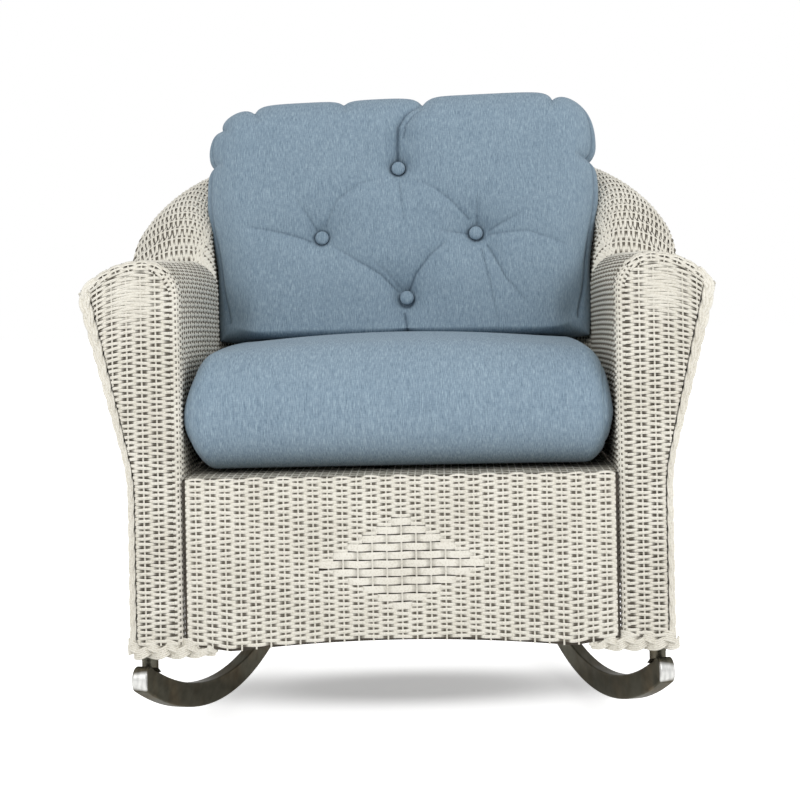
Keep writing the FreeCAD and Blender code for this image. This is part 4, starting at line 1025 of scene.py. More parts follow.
def edge_braid(side):
    """The arm front's outer edge: a plait of three double strands that follows the flare and leans in and
    thins out at its head, with a round binding cord behind it that closes the gap to the tub."""
    up = np.linspace(HEM_TOP, BRAID_TOP, 260)
    inner = flared(TUB_WALL - BRAID_FOOT, ARM_REACH - BRAID_HEAD, ARM_TOP - ARM_DROP, up)
    outer = flared(TUB_WALL, ARM_REACH, ARM_TOP - ARM_DROP - SKIN, up)
    head = np.clip((up - BRAID_TOP + HEAD_TALL) / HEAD_TALL, 0, 1)
    middle = SEAT_HALF_WIDTH + (inner + outer) / 2 - HEAD_LEAN * head ** 2
    path = np.stack([side * middle, np.full_like(up, ARM_FRONT + BRAID_DEPTH / 3), up], 1)
    half = (outer - inner) / 2 * (1 - HEAD_SHRINK * head ** 2)
    across = np.tile([1.0, 0.0, 0.0], (len(up), 1))
    strand = half * EDGE_STRAND_SHARE
    half_deep = strand * EDGE_DEPTH_SHARE
    plait = cords(path, across, half - strand, half_deep, strand, turns=7, strands=3, plait=True,
                  lay=(-0.5, 0.5))
    behind_x = SEAT_HALF_WIDTH + outer - BINDING_INSET - BINDING_LEAN * head ** 2
    behind = np.stack([side * behind_x, np.full_like(up, ARM_FRONT + BINDING_DEPTH), up], 1)
    binding_radius = BINDING_RADIUS * (1 - 0.5 * head)
    binding = cords(behind, across, 0, 0, binding_radius, turns=0, strands=1, plait=False)
    return plait, binding


def foot_braid(side):
    """The arm front's foot: a plait of three strands of five cords, round the outer corner in a quarter turn
    and then straight inwards, with a tip that thins out past the arm's inner side."""
    root, knee = SEAT_HALF_WIDTH + TUB_WALL, SEAT_HALF_WIDTH - SKIN
    x = np.linspace(root - FOOT_TURN, FOOT_TIP, 190)
    bend = np.linspace(0, np.pi / 2, 21)[:-1]
    toward_knee = np.clip((x - FOOT_TIP) / (knee - FOOT_TIP), 0, 1) ** FOOT_TIP_POWER
    tall = FOOT_TALL * (FOOT_TIP_SHARE + (1 - FOOT_TIP_SHARE) * toward_knee)
    front, height = ARM_FRONT + FOOT_DEPTH, HEM_TOP - FOOT_DROP
    straight = np.stack([x, np.full_like(x, front), height - (FOOT_TALL - tall) / 3], 1)
    corner_x, corner_y = root - FOOT_TURN + FOOT_TURN * np.cos(bend), front + FOOT_TURN * (1 - np.sin(bend))
    corner = np.stack([corner_x, corner_y, np.full_like(bend, height)], 1)
    path = np.concatenate([corner, straight]) * np.array([side, 1, 1])
    tall = np.concatenate([np.full(len(bend), FOOT_TALL), tall])
    upward = np.tile([0.0, 0.0, 1.0], (len(path), 1))
    strand = tall * FOOT_STRAND_SHARE
    half_tall = tall / 2 - strand * 0.9
    return cords(path, upward, half_tall, strand * 0.7, strand, turns=1.55, strands=3, plait=True,
                 lay=(-0.84, -0.42, 0.0, 0.42, 0.84))


for side, label in ((1, "right"), (-1, "left")):
    braid("braid_edge_" + label, ["arm_edge_braid_" + label], *edge_braid(side))
    braid("braid_foot_" + label, ["arm_foot_braid_" + label], foot_braid(side))

hem_stakes = np.linspace(0.9, LAST_STAKE - 0.9, 1100)
hem_turn = tub_turn(hem_stakes)
hem_x, hem_y = tub_foot(hem_stakes)
hem_out = TUB_WALL - HEM_INSET
hem_path = np.stack([hem_x + np.cos(hem_turn) * hem_out, hem_y + np.sin(hem_turn) * hem_out,
                     np.full_like(hem_x, HEM_TOP - HEM_DROP)], 1)
hem_upward = np.tile([0.0, 0.0, 1.0], (len(hem_x), 1))
braid("braid_hem", ["back_hem", "side_hem_left", "side_hem_right"],
      cords(hem_path, hem_upward, HEM_HALF_TALL, HEM_HALF_DEEP, HEM_CORD, turns=62, strands=3, plait=False))

rim_stakes = np.linspace(0, LAST_STAKE, 1500)
rim_points, rim_normals = inner_tub(rim_stakes, inner_length(rim_stakes))
rim_path = rim_points - rim_normals * RIM_INSET
# The second strand is painted shadow: the dark between the twist's lobes along the rim.
rim_twist = cords(rim_path, rim_normals, RIM_HALF, RIM_HALF, RIM_CORD, turns=85, strands=2, plait=False,
                  dark=(1,))
braid("braid_rim", [], rim_twist)

# Seat cushion: a foam block in dusty blue cloth, with a waterfall front, a low crown and a boxing seam near
# each end. It lies loose on the woven deck.
SEAT_HALF = 0.2885
SEAT_SETBACK = 0.003
SEAT_FRONT = ARM_FRONT + SEAT_SETBACK
SEAT_BACK = 0.107
SEAT_GAP = 0.0006
SEAT_LOW = DECK_TOP + SEAT_GAP
SEAT_HIGH = 0.5300
SEAT_WIDEST = 0.447
SEAT_CROWN = 0.027
SEAT_END = 0.038
SEAT_END_SETBACK = 0.036
SEAT_ROUND = 0.076
SEAT_SIDE = -0.0040
SEAT_REAR_RADIUS = 0.127
LOOP_POINTS = [20, 18, 90, 12, 10, 12, 50, 18]
CROWN_TALL, CROWN_FORWARD = 0.093, 0.7
CHIN_LIFT, CHIN_REACH, CHIN_TOP, CHIN_FADE = 0.007, 0.15, 0.44, 0.06
SEAT_SEAM, SEAM_HALF, SEAM_PINCH, SEAM_DIP = 0.2795, 0.0016, 0.0075, 0.012
SEAM_LENS, LENS_LOW, LENS_TALL = 0.004, 0.40, 0.14
NOSE_REACH, NOSE_SPREAD = 0.030, 0.013
END_WRAP = 0.045
CLOTH_DEEP, CLOTH_BLUE, CLOTH_PALE = (0.157, 0.224, 0.288), (0.228, 0.309, 0.379), (0.316, 0.404, 0.471)
SLUB_DARK, SLUB_LIGHT = (0.89, 0.90, 0.91), (1.06, 1.06, 1.05)
CROSS_THREAD, HANDLED, FOLD_SHADE = (0.78, 0.80, 0.83), (0.94, 0.95, 0.96), (0.36, 0.40, 0.44)


def cushion_cloth():
    """Heathered blue cloth: fine threads that run up and to the back, thicker slubs, a faint cross thread,
    and painted shade where the crest attribute marks a fold, a seam or a button's ring. The across attribute
    measures round the cushion's sides, so that the threads run up them too."""
    material, tree = new_material("cushion_cloth")
    place = tree.nodes.new("ShaderNodeTexCoord")
    split = tree.nodes.new("ShaderNodeSeparateXYZ")
    across = tree.nodes.new("ShaderNodeAttribute")
    across.attribute_name = "across"
    threads = tree.nodes.new("ShaderNodeCombineXYZ")
    wire(tree, place.outputs["Object"], split.inputs[0])
    wire(tree, across.outputs["Fac"], threads.inputs["X"])
    wire(tree, split.outputs["Y"], threads.inputs["Y"])
    wire(tree, split.outputs["Z"], threads.inputs["Z"])
    fine = noise(tree, 1500, 1, (1.0, 0.09, 0.09), threads.outputs[0])
    slub = noise(tree, 900, 1, (1.0, 0.05, 0.05), threads.outputs[0])
    cross = noise(tree, 1300, 1, (0.15, 1.0, 1.0), threads.outputs[0])
    blue = ramp(tree, fine, [(0.30, CLOTH_DEEP), (0.50, CLOTH_BLUE), (0.70, CLOTH_PALE)])
    slubs = ramp(tree, slub, [(0.36, SLUB_DARK), (0.50, WHITE), (0.66, SLUB_LIGHT)])
    crossed = ramp(tree, cross, [(0.35, CROSS_THREAD), (0.62, WHITE)])
    colour = mixed(tree, 0.8, blue, slubs, "MULTIPLY")
    colour = mixed(tree, 0.7, colour, crossed, "MULTIPLY")
    shade = ramp(tree, noise(tree, 9, 2), [(0.3, HANDLED), (0.7, WHITE)])
    colour = mixed(tree, 1.0, colour, shade, "MULTIPLY")
    crease = tree.nodes.new("ShaderNodeAttribute")
    crease.attribute_name = "crest"
    folded = ramp(tree, crease.outputs["Fac"], [(0.0, WHITE), (1.0, FOLD_SHADE)])
    colour = mixed(tree, 1.0, colour, folded, "MULTIPLY")
    shader = coat(tree, colour, {"Roughness": 0.88, "Sheen Weight": 0.06, "Sheen Roughness": 0.6,
                                 "Specular IOR Level": 0.2})
    bump = tree.nodes.new("ShaderNodeBump")
    bump.inputs["Strength"].default_value = 0.35
    bump.inputs["Distance"].default_value = 0.0005
    wire(tree, fine, bump.inputs["Height"])
    wire(tree, bump.outputs[0], shader.inputs["Normal"])
    return material


def rounded_loop(front, back, low, high, radius, steps):
    """A rounded rectangle in (y, z) as a closed run of points: flats joined by quarter turns, with a number
    of points on each, from the front's foot up and round. Each point is its corner's centre plus the radius
    times the cosine and sine of the turn."""
    ends = np.cumsum([0] + steps)
    at = np.arange(ends[-1])
    turn = np.radians(np.interp(at, ends, [180, 180, 90, 90, 0, 0, -90, -90, -180]))
    near, far, foot, top = front + radius, back - radius, low + radius, high - radius
    y = np.interp(at, ends, [near, near, near, far, far, far, far, near, near])
    z = np.interp(at, ends, [foot, top, top, top, top, foot, foot, foot, foot])
    return y + radius * np.cos(turn), z + radius * np.sin(turn)


def seat_cushion():
    """The loop carried from end to end: its height and length shrink over the rounded ends as a quarter
    ellipse, and its back follows the tub's corners. The crown is added, a parabola across times a sine from
    front to back, and so are the chin under the nose, which lifts off the deck, and the seams' grooves,
    which are bell curves. Returns vertices, quads, end triangles and the places of the threads."""
    loop_y, loop_z = rounded_loop(SEAT_FRONT, SEAT_BACK, SEAT_LOW, SEAT_HIGH, SEAT_ROUND, LOOP_POINTS)
    ride_turn = np.linspace(-1, 1, 261)[1:-1]
    x = SEAT_HALF * np.sin(ride_turn * np.pi / 2)[:, None]
    past = np.clip((np.abs(x) - (SEAT_HALF - SEAT_END)) / SEAT_END, 0, 1)
    shrink = np.sqrt(1 - past ** 2)
    corner = np.clip(np.abs(x) - CORNER_X, 0, SEAT_REAR_RADIUS)
    back = CORNER_Y + np.sqrt(SEAT_REAR_RADIUS ** 2 - corner ** 2)
    y = SEAT_FRONT + (loop_y - SEAT_FRONT) * (back - SEAT_FRONT) / (SEAT_BACK - SEAT_FRONT)
    middle = (SEAT_FRONT + back) / 2
    length = back - SEAT_FRONT
    y = middle + (y - middle) * (1 - (1 - shrink) * 2 * SEAT_END_SETBACK / length)
    across = 1 - (x / SEAT_HALF) ** 2
    along = np.clip((y - SEAT_FRONT) / length, 0, 1)
    upper = np.clip((loop_z - SEAT_WIDEST) / CROWN_TALL, 0, 1) ** 2
    crown = SEAT_CROWN * across * np.sin(np.pi * along ** CROWN_FORWARD) * upper
    z = SEAT_WIDEST + (loop_z - SEAT_WIDEST) * shrink + crown
    chin = np.clip(1 - (y - SEAT_FRONT) / CHIN_REACH, 0, 1)
    z = z + CHIN_LIFT * chin * np.clip((CHIN_TOP - z) / CHIN_FADE, 0, 1)
    lens = SEAM_LENS * np.sin(np.pi * np.clip((z - LENS_LOW) / LENS_TALL, 0, 1))
    groove = np.exp(-((np.abs(x) - SEAT_SEAM + lens) / SEAM_HALF) ** 2)
    bulge = np.exp(-((y - SEAT_FRONT) / NOSE_REACH) ** 2)
    x = x * (1 - SEAM_PINCH * groove * shrink + NOSE_SPREAD * bulge) + SEAT_SIDE * bulge
    z = SEAT_WIDEST + (z - SEAT_WIDEST) * (1 - SEAM_DIP * groove)
    rings, around = x.shape
    across = (x + np.sign(x) * END_WRAP * (1 - shrink)).ravel()
    vertices = np.stack([x, y, z], -1).reshape(-1, 3)
    index = np.arange(rings * around).reshape(rings, around)
    following = np.roll(index, -1, axis=1)
    faces = np.stack([index[:-1], index[1:], following[1:], following[:-1]], -1).reshape(-1, 4)
    left, right = len(vertices), len(vertices) + 1
    ends = [vertices[index[0]].mean(0), vertices[index[-1]].mean(0)]
    left_end = np.stack([index[0], following[0], np.full(around, left)], -1)
    right_end = np.stack([following[-1], index[-1], np.full(around, right)], -1)
    return (np.concatenate([vertices, ends]), faces, np.concatenate([left_end, right_end]),
            np.concatenate([across, across[[0, -1]]]))


def closed_piece(name, vertices, quads, triangles, across, material):
    """A closed piece from quads and the triangles that close its ends, with the places of its threads."""
    mesh = bpy.data.meshes.new(name)
    mesh.from_pydata(vertices.tolist(), [], quads.tolist() + triangles.tolist())
    mesh.polygons.foreach_set("use_smooth", np.full(len(mesh.polygons), True))
    mesh.validate()
    add_attribute(mesh, "across", across)
    mesh.materials.append(material)
    piece = bpy.data.objects.new(name, mesh)
    bpy.context.scene.collection.objects.link(piece)
    return piece


CUSHION_CLOTH = cushion_cloth()
seat = closed_piece("seat_cushion_cloth", *seat_cushion(), CUSHION_CLOTH)
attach(seat, "seat_cushion_body")
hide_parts("seat_cushion")

# Back cushion: a loose fibre-filled cushion in the same cloth, sewn at the rim and tied through at four
# buttons. The ties pull folds between the buttons and puckers at the rim, and its foot rests on the seat
# cushion's crown. A fold or pucker is its depth and the line of places (x, up) that it runs along.
PILLOW_ACROSS = np.array([1.0, 0, 0])
PILLOW_UP = np.array([0.0, math.sin(LEAN_ANGLE), math.cos(LEAN_ANGLE)])
PILLOW_OUT = np.array([0.0, -math.cos(LEAN_ANGLE), math.sin(LEAN_ANGLE)])
PILLOW_FOOT_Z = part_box("back_cushion")[0][2]
PILLOW_SETBACK = 0.425
PILLOW_FOOT_Y = ARM_FRONT + PILLOW_SETBACK + LEAN * (PILLOW_FOOT_Z - DECK_TOP)
PILLOW_FOOT = np.array([0.0, PILLOW_FOOT_Y, PILLOW_FOOT_Z])
PILLOW_HIGH = 0.385
PILLOW_LOW_HALF, PILLOW_HIGH_HALF = 0.296, 0.314
PILLOW_SIDE = -0.0015
PILLOW_TILT = 0.033
PILLOW_FRONT, PILLOW_REAR = 0.058, 0.116
PILLOW_SWELL = 0.008
FRONT_ROUND, REAR_ROUND = 0.066, 0.110
CORNER_SIDE_SHARE, CORNER_TOP_SHARE = 0.085, 0.130
BUTTON_PLACES = np.array([(-0.0075, 0.2578), (0.0033, 0.0489), (-0.1290, 0.1470), (0.1135, 0.1506)])
FOLD_SHIFT = np.array([0.0040, -0.0050])
FOLDS = [
    (0.0150, [(-0.0121, 0.2704), (-0.0122, 0.3033), (-0.0108, 0.3331), (0.0003, 0.3563), (0.0240, 0.3760)]),
    (0.0050, [(-0.0027, 0.3132), (0.0019, 0.3364), (0.0147, 0.3530), (0.0290, 0.3613)]),
    (0.0028, [(-0.1268, 0.1694), (-0.1099, 0.2083), (-0.0753, 0.2344), (-0.0373, 0.2442)]),
    (0.0040, [(0.0991, 0.1775), (0.0722, 0.2051), (0.0484, 0.2246), (0.0167, 0.2409)]),
    (0.0050, [(-0.0140, 0.0665), (-0.0409, 0.0921), (-0.0772, 0.1130), (-0.1121, 0.1355)]),
    (0.0030, [(-0.0125, 0.0729), (-0.0299, 0.0937), (-0.0520, 0.1114)]),
    (0.0065, [(0.0032, 0.0665), (0.0141, 0.0921), (0.0360, 0.1194), (0.0612, 0.1403)]),
    (0.0075, [(-0.0045, 0.0331), (-0.0012, 0.0157), (0.0004, -0.0200)]),
    (0.0045, [(-0.1501, 0.1468), (-0.1770, 0.1548), (-0.2119, 0.1629), (-0.2515, 0.1694)]),
    (0.0030, [(-0.1393, 0.1613), (-0.1539, 0.1856), (-0.1733, 0.2116)]),
    (0.0040, [(0.0990, 0.1548), (0.0769, 0.1564), (0.0549, 0.1581)]),
    (0.0035, [(0.1117, 0.1694), (0.1118, 0.1921), (0.1118, 0.2132)]),
    (0.0035, [(0.1306, 0.1597), (0.1559, 0.1726), (0.1845, 0.1856)]),
    (0.0030, [(0.1306, 0.1532), (0.1905, 0.1564), (0.2565, 0.1323)]),
    (0.0045, [(0.1273, 0.1355), (0.1554, 0.0825), (0.1896, 0.0442)]),
    (0.0040, [(0.1179, 0.1290), (0.1302, 0.0761), (0.1425, 0.0125)]),
    (0.0030, [(-0.0103, 0.2377), (-0.0069, 0.2051), (-0.0020, 0.1661)]),
]
PUCKERS = [
    (0.014, [(-0.3300, 0.2780), (-0.2900, 0.2740)]),
    (0.014, [(-0.3150, 0.3500), (-0.2790, 0.3230)]),
    (0.015, [(-0.2500, 0.3900), (-0.2330, 0.3400)]),
    (0.010, [(-0.1000, 0.3950), (-0.0960, 0.3550)]),
    (0.018, [(0.0300, 0.4050), (0.0240, 0.3600)]),
    (0.013, [(0.2430, 0.3980), (0.2300, 0.3500)]),
    (0.019, [(0.3150, 0.2770), (0.2700, 0.2800)]),
]
PUCKER_HALF = 0.009
CREASE, BROAD_DIP, CREASE_LINE = 0.0035, 0.020, 0.0019
FOLD_DEPTH_SHARE, FOLD_FADE_SHARE = 1.5, 0.75
PIT_WIDE, PIT_WIDE_DEPTH = 0.045, 0.012
PIT_NARROW, PIT_NARROW_DEPTH = 0.0155, 0.014
PIT_RING, PIT_RING_HALF = 0.0112, 0.0024
LOW_CORNER_DEPTH, LOW_CORNER_REACH, LOW_CORNER_UP = 0.030, 0.055, 0.01
SIDE_SEAM_INSET, SIDE_SEAM_HALF, SIDE_SEAM_DEPTH = 0.0075, 0.0022, 0.0028
SIDE_SEAM_STOP = 0.9
# Painted shade on the front face: how dark the rings round the buttons and the side seams are, and how dark a
# fold's line is per metre of its depth.
PIT_RING_SHADE, SIDE_SEAM_SHADE, FOLD_SHADE_BY_DEPTH = 0.9, 0.45, 130
SIDE_SQUARENESS, TOP_SQUARENESS = 7, 10
WIDENING_START, WIDENING_TALL = 0.09, 0.13
LOW_CORNER_SHARE, LOW_ROUND_SHARE = 0.15, 0.22
CORNER_DROP = 0.004
FOOT_SINK = 0.008
REST_SHARE = 0.17


def near_line(x, up, line):
    """Distance from each place to a line of points, and the share of its length at the nearest spot: the
    least of the distances to its straight spans."""
    line = np.array(line) + FOLD_SHIFT
    spans = np.linalg.norm(np.diff(line, axis=0), axis=1)
    starts = np.concatenate([[0], np.cumsum(spans)])
    best, share = np.full(x.shape, 9.0), np.zeros(x.shape)
    for first, last, span, start in zip(line[:-1], line[1:], spans, starts):
        way = (last - first) / span
        along = np.clip((x - first[0]) * way[0] + (up - first[1]) * way[1], 0, span)
        gap = np.hypot(x - first[0] - along * way[0], up - first[1] - along * way[1])
        nearer = gap < best
        best = np.where(nearer, gap, best)
        share = np.where(nearer, (start + along) / starts[-1], share)
    return best, share


def edge_fill(inset, depth):
    """How full the cushion is at an inset from its rim: a quarter ellipse up to the depth, then level."""
    return np.sqrt(1 - (1 - np.clip(inset / depth, 0, 1)) ** 2)


def pillow_half(u, v, thickness, rounding, front):
    """One face of the cushion over the square (u, v): x and up from the rounded outline, out from the edge
    fill times the thickness and the swell, less the puckers, pits, folds and seams, which are bell curves and
    exponentials of the distance; then tilted as it stands. Returns points, painted shade along the creases,
    seams and pit rings, and threads' places."""
    upper = np.where(v > 0, 1.0, LOW_CORNER_SHARE)
    up = PILLOW_HIGH * (v * (1 - CORNER_TOP_SHARE * upper * np.abs(u) ** TOP_SQUARENESS) + 1) / 2
    up = up - (FOOT_SINK + CORNER_DROP * np.abs(u) ** 3) * ((1 - v) / 2) ** 4
    widening = np.clip((up - WIDENING_START) / WIDENING_TALL, 0, 1)
    half = PILLOW_LOW_HALF + (PILLOW_HIGH_HALF - PILLOW_LOW_HALF) * widening ** 2 * (3 - 2 * widening)
    x = half * u * (1 - CORNER_SIDE_SHARE * upper * np.abs(v) ** SIDE_SQUARENESS)
    sides = edge_fill(half * (1 - np.abs(u)), rounding)
    ends = edge_fill(PILLOW_HIGH / 2 * (1 - np.abs(v)), rounding * np.where(v > 0, 1.0, LOW_ROUND_SHARE))
    fill = sides * ends
    swell = PILLOW_SWELL * (1 - u ** 2) * (1 - v ** 2)
    out = (thickness + swell) * fill
    inward = np.sqrt(np.clip(1 - fill ** 2, 0, 1))
    rim_x, rim_up = np.sign(u) * np.abs(u) ** 9, np.sign(v) * np.abs(v) ** 9
    rim_length = np.maximum(np.hypot(rim_x, rim_up), 1e-9)
    rim_x, rim_up = rim_x / rim_length, rim_up / rim_length
    x, up = x + PILLOW_SIDE, up + PILLOW_TILT * x * up / PILLOW_HIGH
    sink, crease = np.zeros(x.shape), np.zeros(x.shape)
    for depth, line in PUCKERS:
        gap, share = near_line(x, up, line)
        sink = sink + depth * (1 - share) ** 0.7 * np.exp(-gap / PUCKER_HALF)
    if front:
        for place in BUTTON_PLACES:
            gap = np.hypot(x - place[0], up - place[1])
            sink = sink + PIT_WIDE_DEPTH * np.exp(-(gap / PIT_WIDE) ** 2)
            sink = sink + PIT_NARROW_DEPTH * np.exp(-(gap / PIT_NARROW) ** 2)
            crease = np.maximum(crease, PIT_RING_SHADE * np.exp(-((gap - PIT_RING) / PIT_RING_HALF) ** 2))
        for depth, line in FOLDS:
            gap, share = near_line(x, up, line)
            fade = 1 - FOLD_FADE_SHARE * share ** 2
            dip = 0.5 * np.exp(-gap / CREASE) + 0.5 * np.exp(-(gap / BROAD_DIP) ** 2)
            sink = sink + FOLD_DEPTH_SHARE * depth * fade * dip
            line_shade = min(depth * FOLD_SHADE_BY_DEPTH, 1)
            crease = np.maximum(crease, line_shade * fade * np.exp(-(gap / CREASE_LINE) ** 2))
        low_corner = np.hypot(np.abs(x - PILLOW_SIDE) - PILLOW_LOW_HALF, up - LOW_CORNER_UP)
        sink = sink + LOW_CORNER_DEPTH * np.exp(-(low_corner / LOW_CORNER_REACH) ** 2) * fill
        inset = half * (1 - np.abs(u))
        side_seam = np.exp(-((inset - SIDE_SEAM_INSET) / SIDE_SEAM_HALF) ** 2) * (np.abs(v) < SIDE_SEAM_STOP)
        sink = sink + SIDE_SEAM_DEPTH * side_seam
        crease = np.maximum(crease, SIDE_SEAM_SHADE * side_seam)
    x, up = x - rim_x * inward * sink, up - rim_up * inward * sink
    out = out - fill * sink
    if front:
        up = up - REST_SHARE * out * ((1 - v) / 2) ** 6
    facing = 1.0 if front else -1.0
    points = (PILLOW_FOOT + x[..., None] * PILLOW_ACROSS + up[..., None] * PILLOW_UP
              + (facing * out)[..., None] * PILLOW_OUT)
    if front:
        across = x + np.sign(u) * thickness * (1 - sides)
    else:
        across = 2 * half - np.abs(x) + PILLOW_FRONT + thickness * sides
    return points, crease, across


def back_cushion():
    """Both faces on the same grid, closer set towards the rim, where they are joined."""
    across, along = np.linspace(-1, 1, 401), np.linspace(-1, 1, 261)
    closer_across = 0.6 * across + 0.4 * np.sin(across * np.pi / 2)
    closer_along = 0.6 * along + 0.4 * np.sin(along * np.pi / 2)
    u, v = np.meshgrid(closer_across, closer_along)
    front, crease, front_across = pillow_half(u, v, PILLOW_FRONT, FRONT_ROUND, True)
    rear, rear_crease, rear_across = pillow_half(u, v, PILLOW_REAR, REAR_ROUND, False)
    inside = np.zeros(u.shape, bool)
    inside[1:-1, 1:-1] = True
    front_index = np.arange(u.size).reshape(u.shape)
    rear_index = front_index.copy()
    rear_index[inside] = u.size + np.arange(inside.sum())
    vertices = np.concatenate([front.reshape(-1, 3), rear[inside]])
    quads = np.concatenate([sheet_faces(front_index), sheet_faces(rear_index)[:, ::-1]])
    crease = np.concatenate([crease.ravel(), rear_crease[inside]])
    return vertices, quads, crease, np.concatenate([front_across.ravel(), rear_across[inside]])


pillow_vertices, pillow_quads, pillow_crease, pillow_across = back_cushion()
pillow = new_piece("back_cushion_cloth", pillow_vertices, pillow_quads, CUSHION_CLOTH, pillow_crease)
add_attribute(pillow.data, "across", pillow_across)
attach(pillow, "back_cushion_body")
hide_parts("back_cushion")

# Tufting buttons: tin shells covered in the cushion's cloth, tied in pairs through the cushion by twine. Each
# has a rolled edge that stands in a ring of pulled cloth, darkened there by painted shade.
BUTTON_PROFILE = np.array([
    (0.0, 0.0062), (0.003, 0.0061), (0.006, 0.0056), (0.0082, 0.0046), (0.0097, 0.0034),
    (0.0106, 0.0020), (0.0108, 0.0004), (0.0104, -0.0016), (0.0090, -0.0032), (0.0, -0.0036),
])
BUTTON_STEPS = 32
BUTTON_SINK, REAR_BUTTON_SINK = 0.023, 0.010


def button_mesh(centre, facing):
    """The profile (radius, out) turned once about the line through the cushion, with a point at each pole."""
    turn = np.linspace(0, 2 * np.pi, BUTTON_STEPS, endpoint=False)
    radius, out = BUTTON_PROFILE[1:-1, 0], BUTTON_PROFILE[1:-1, 1]
    spokes = np.cos(turn)[:, None] * PILLOW_ACROSS + np.sin(turn)[:, None] * PILLOW_UP
    ring = radius[:, None, None] * spokes + (facing * out)[:, None, None] * PILLOW_OUT
    index = np.arange(ring.shape[0] * BUTTON_STEPS).reshape(-1, BUTTON_STEPS)
    following = np.roll(index, -1, axis=1)
    quads = np.stack([index[:-1], index[1:], following[1:], following[:-1]], -1).reshape(-1, 4)
    top, foot = index.size, index.size + 1
    crown = np.stack([index[0], following[0], np.full(BUTTON_STEPS, top)], -1)
    under = np.stack([following[-1], index[-1], np.full(BUTTON_STEPS, foot)], -1)
    poles = facing * BUTTON_PROFILE[[0, -1], 1][:, None] * PILLOW_OUT
    vertices = np.concatenate([ring.reshape(-1, 3), poles]) + centre
    triangles = np.concatenate([crown, under])
    if facing < 0:
        quads, triangles = quads[:, ::-1], triangles[:, ::-1]
    return vertices, quads, triangles


def button_set(name, facing, depth, replaced):
    """The four buttons of one face as one piece."""
    vertices, quads, triangles, start = [], [], [], 0
    for x, up in BUTTON_PLACES:
        centre = PILLOW_FOOT + x * PILLOW_ACROSS + up * PILLOW_UP + facing * depth * PILLOW_OUT
        button_points, button_quads, button_triangles = button_mesh(centre, facing)
        vertices.append(button_points)
        quads.append(button_quads + start)
        triangles.append(button_triangles + start)
        start += len(button_points)
    vertices, quads, triangles = np.concatenate(vertices), np.concatenate(quads), np.concatenate(triangles)
    piece = closed_piece(name, vertices, quads, triangles, vertices[:, 0], CUSHION_CLOTH)
    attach(piece, "back_cushion_body")
    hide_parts(replaced)


button_set("buttons_front", 1, PILLOW_FRONT + PILLOW_SWELL - BUTTON_SINK, "front_buttons")
button_set("buttons_rear", -1, PILLOW_REAR - REAR_BUTTON_SINK, "rear_buttons")

# Runners, posts and frame: flat steel bars bent to the rocking curve and welded to tube posts. They are
# ground bright at the front ends, tinted by the weld's heat at the necks and oiled elsewhere. The frame in
# the tub is painted, and the twines in the back cushion are waxed.
NECK_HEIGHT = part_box("runner_left")[1][2]
HEAT_BELOW, HEAT_ABOVE = 0.012, 0.016
RUNNER_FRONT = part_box("runner_left")[0][1]
GROUND_LENGTH = 0.012
OLIVE_DARK, OLIVE_LIGHT = (0.056, 0.054, 0.043), (0.105, 0.101, 0.080)
BROWN_DARK, BROWN_LIGHT = (0.066, 0.053, 0.036), (0.130, 0.104, 0.070)
GROUND_DARK, GROUND_LIGHT = (0.42, 0.42, 0.41), (0.62, 0.62, 0.60)
HEAT_COLOURS = [(0.0, WHITE), (0.30, (1.0, 0.80, 0.55)), (0.50, (0.75, 0.42, 0.26)),
                (0.66, (0.42, 0.60, 0.86)), (0.80, (0.62, 0.56, 0.48)), (1.0, (0.80, 0.76, 0.70))]
STEEL_SHEEN = (0.42, 0.41, 0.38, 1)
PAINT_DARK, PAINT_LIGHT = (0.080, 0.074, 0.064), (0.130, 0.120, 0.105)
TWINE_DARK, TWINE_LIGHT = (0.30, 0.27, 0.22), (0.50, 0.46, 0.38)


def along_axis(tree, axis, low, high):
    """How far along an object's own axis a point is, from 0 at low to 1 at high."""
    place = tree.nodes.new("ShaderNodeTexCoord")
    split = tree.nodes.new("ShaderNodeSeparateXYZ")
    wire(tree, place.outputs["Object"], split.inputs[0])
    share = tree.nodes.new("ShaderNodeMapRange")
    share.inputs["From Min"].default_value = low
    share.inputs["From Max"].default_value = high
    wire(tree, split.outputs[axis], share.inputs["Value"])
    return share.outputs[0]


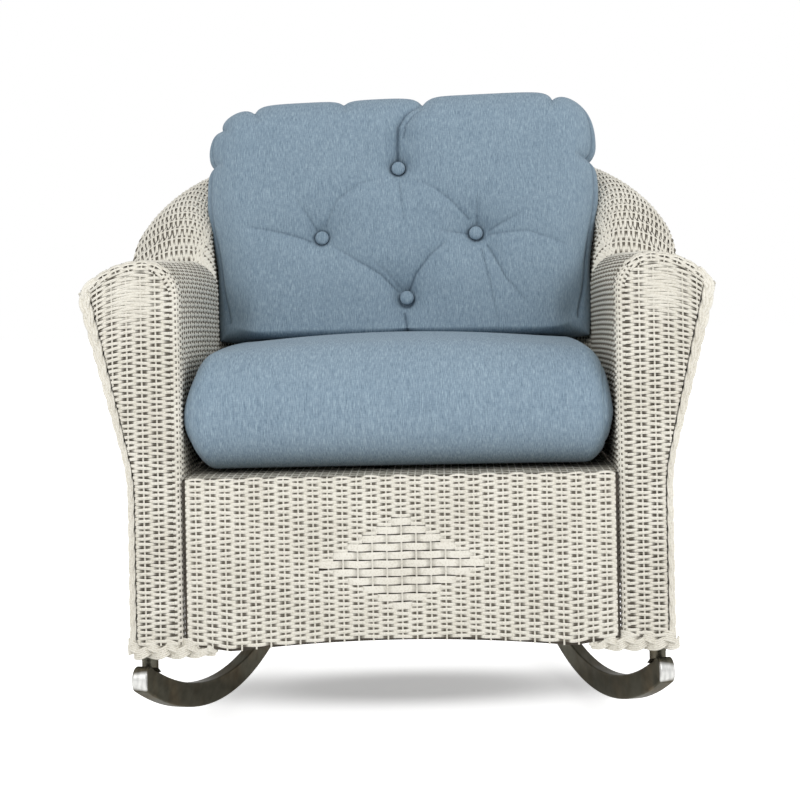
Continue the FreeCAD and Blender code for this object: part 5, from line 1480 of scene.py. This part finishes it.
def oiled_steel():
    """Dark oiled steel with brown patches and drawn streaks, a ground front end, and heat colours that
    darken it at the neck."""
    material, tree = new_material("oiled_steel")
    streaks = noise(tree, 260, 3, (1.0, 0.04, 0.3))
    patches = noise(tree, 16, 4)
    olive = ramp(tree, streaks, [(0.3, OLIVE_DARK), (0.7, OLIVE_LIGHT)])
    brown = ramp(tree, streaks, [(0.3, BROWN_DARK), (0.7, BROWN_LIGHT)])
    rusty = ramp(tree, patches, [(0.45, BLACK), (0.70, WHITE)])
    body = mixed(tree, rusty, olive, brown)
    from_front = along_axis(tree, 1, RUNNER_FRONT, RUNNER_FRONT + GROUND_LENGTH)
    ground = ramp(tree, from_front, [(0.30, WHITE), (0.62, BLACK)])
    bright = ramp(tree, streaks, [(0.3, GROUND_DARK), (0.7, GROUND_LIGHT)])
    body = mixed(tree, ground, body, bright)
    heat = ramp(tree, along_axis(tree, 2, NECK_HEIGHT - HEAT_BELOW, NECK_HEIGHT + HEAT_ABOVE), HEAT_COLOURS)
    colour = mixed(tree, 1.0, body, heat, "MULTIPLY")
    shader = coat(tree, colour, {"Metallic": 0.85, "Specular Tint": STEEL_SHEEN, "Specular IOR Level": 0.2})
    rough = tree.nodes.new("ShaderNodeMapRange")
    rough.inputs["To Min"].default_value = 0.26
    rough.inputs["To Max"].default_value = 0.50
    wire(tree, patches, rough.inputs["Value"])
    wire(tree, rough.outputs[0], shader.inputs["Roughness"])
    return material


def finish(material, *nodes):
    """The material in every slot of the named nodes."""
    for node in nodes:
        for place in bpy.data.objects[node].material_slots:
            place.material = material


finish(oiled_steel(), "runner_left", "runner_right", "post_collar_left", "post_collar_right", "weld_beads",
       "front_post_left", "front_post_right", "rear_post_left", "rear_post_right")
finish(plain_finish("frame_paint", PAINT_DARK, PAINT_LIGHT, 0.5), "arm_rail_left", "arm_rail_right",
       "back_post_left", "back_post_right", "back_uprights", "rim_tube", "seat_front_rail", "seat_rear_rail",
       "seat_side_rail_left", "seat_side_rail_right", "seat_slats")
finish(plain_finish("waxed_twine", TWINE_DARK, TWINE_LIGHT, 0.8), "tuft_twines")
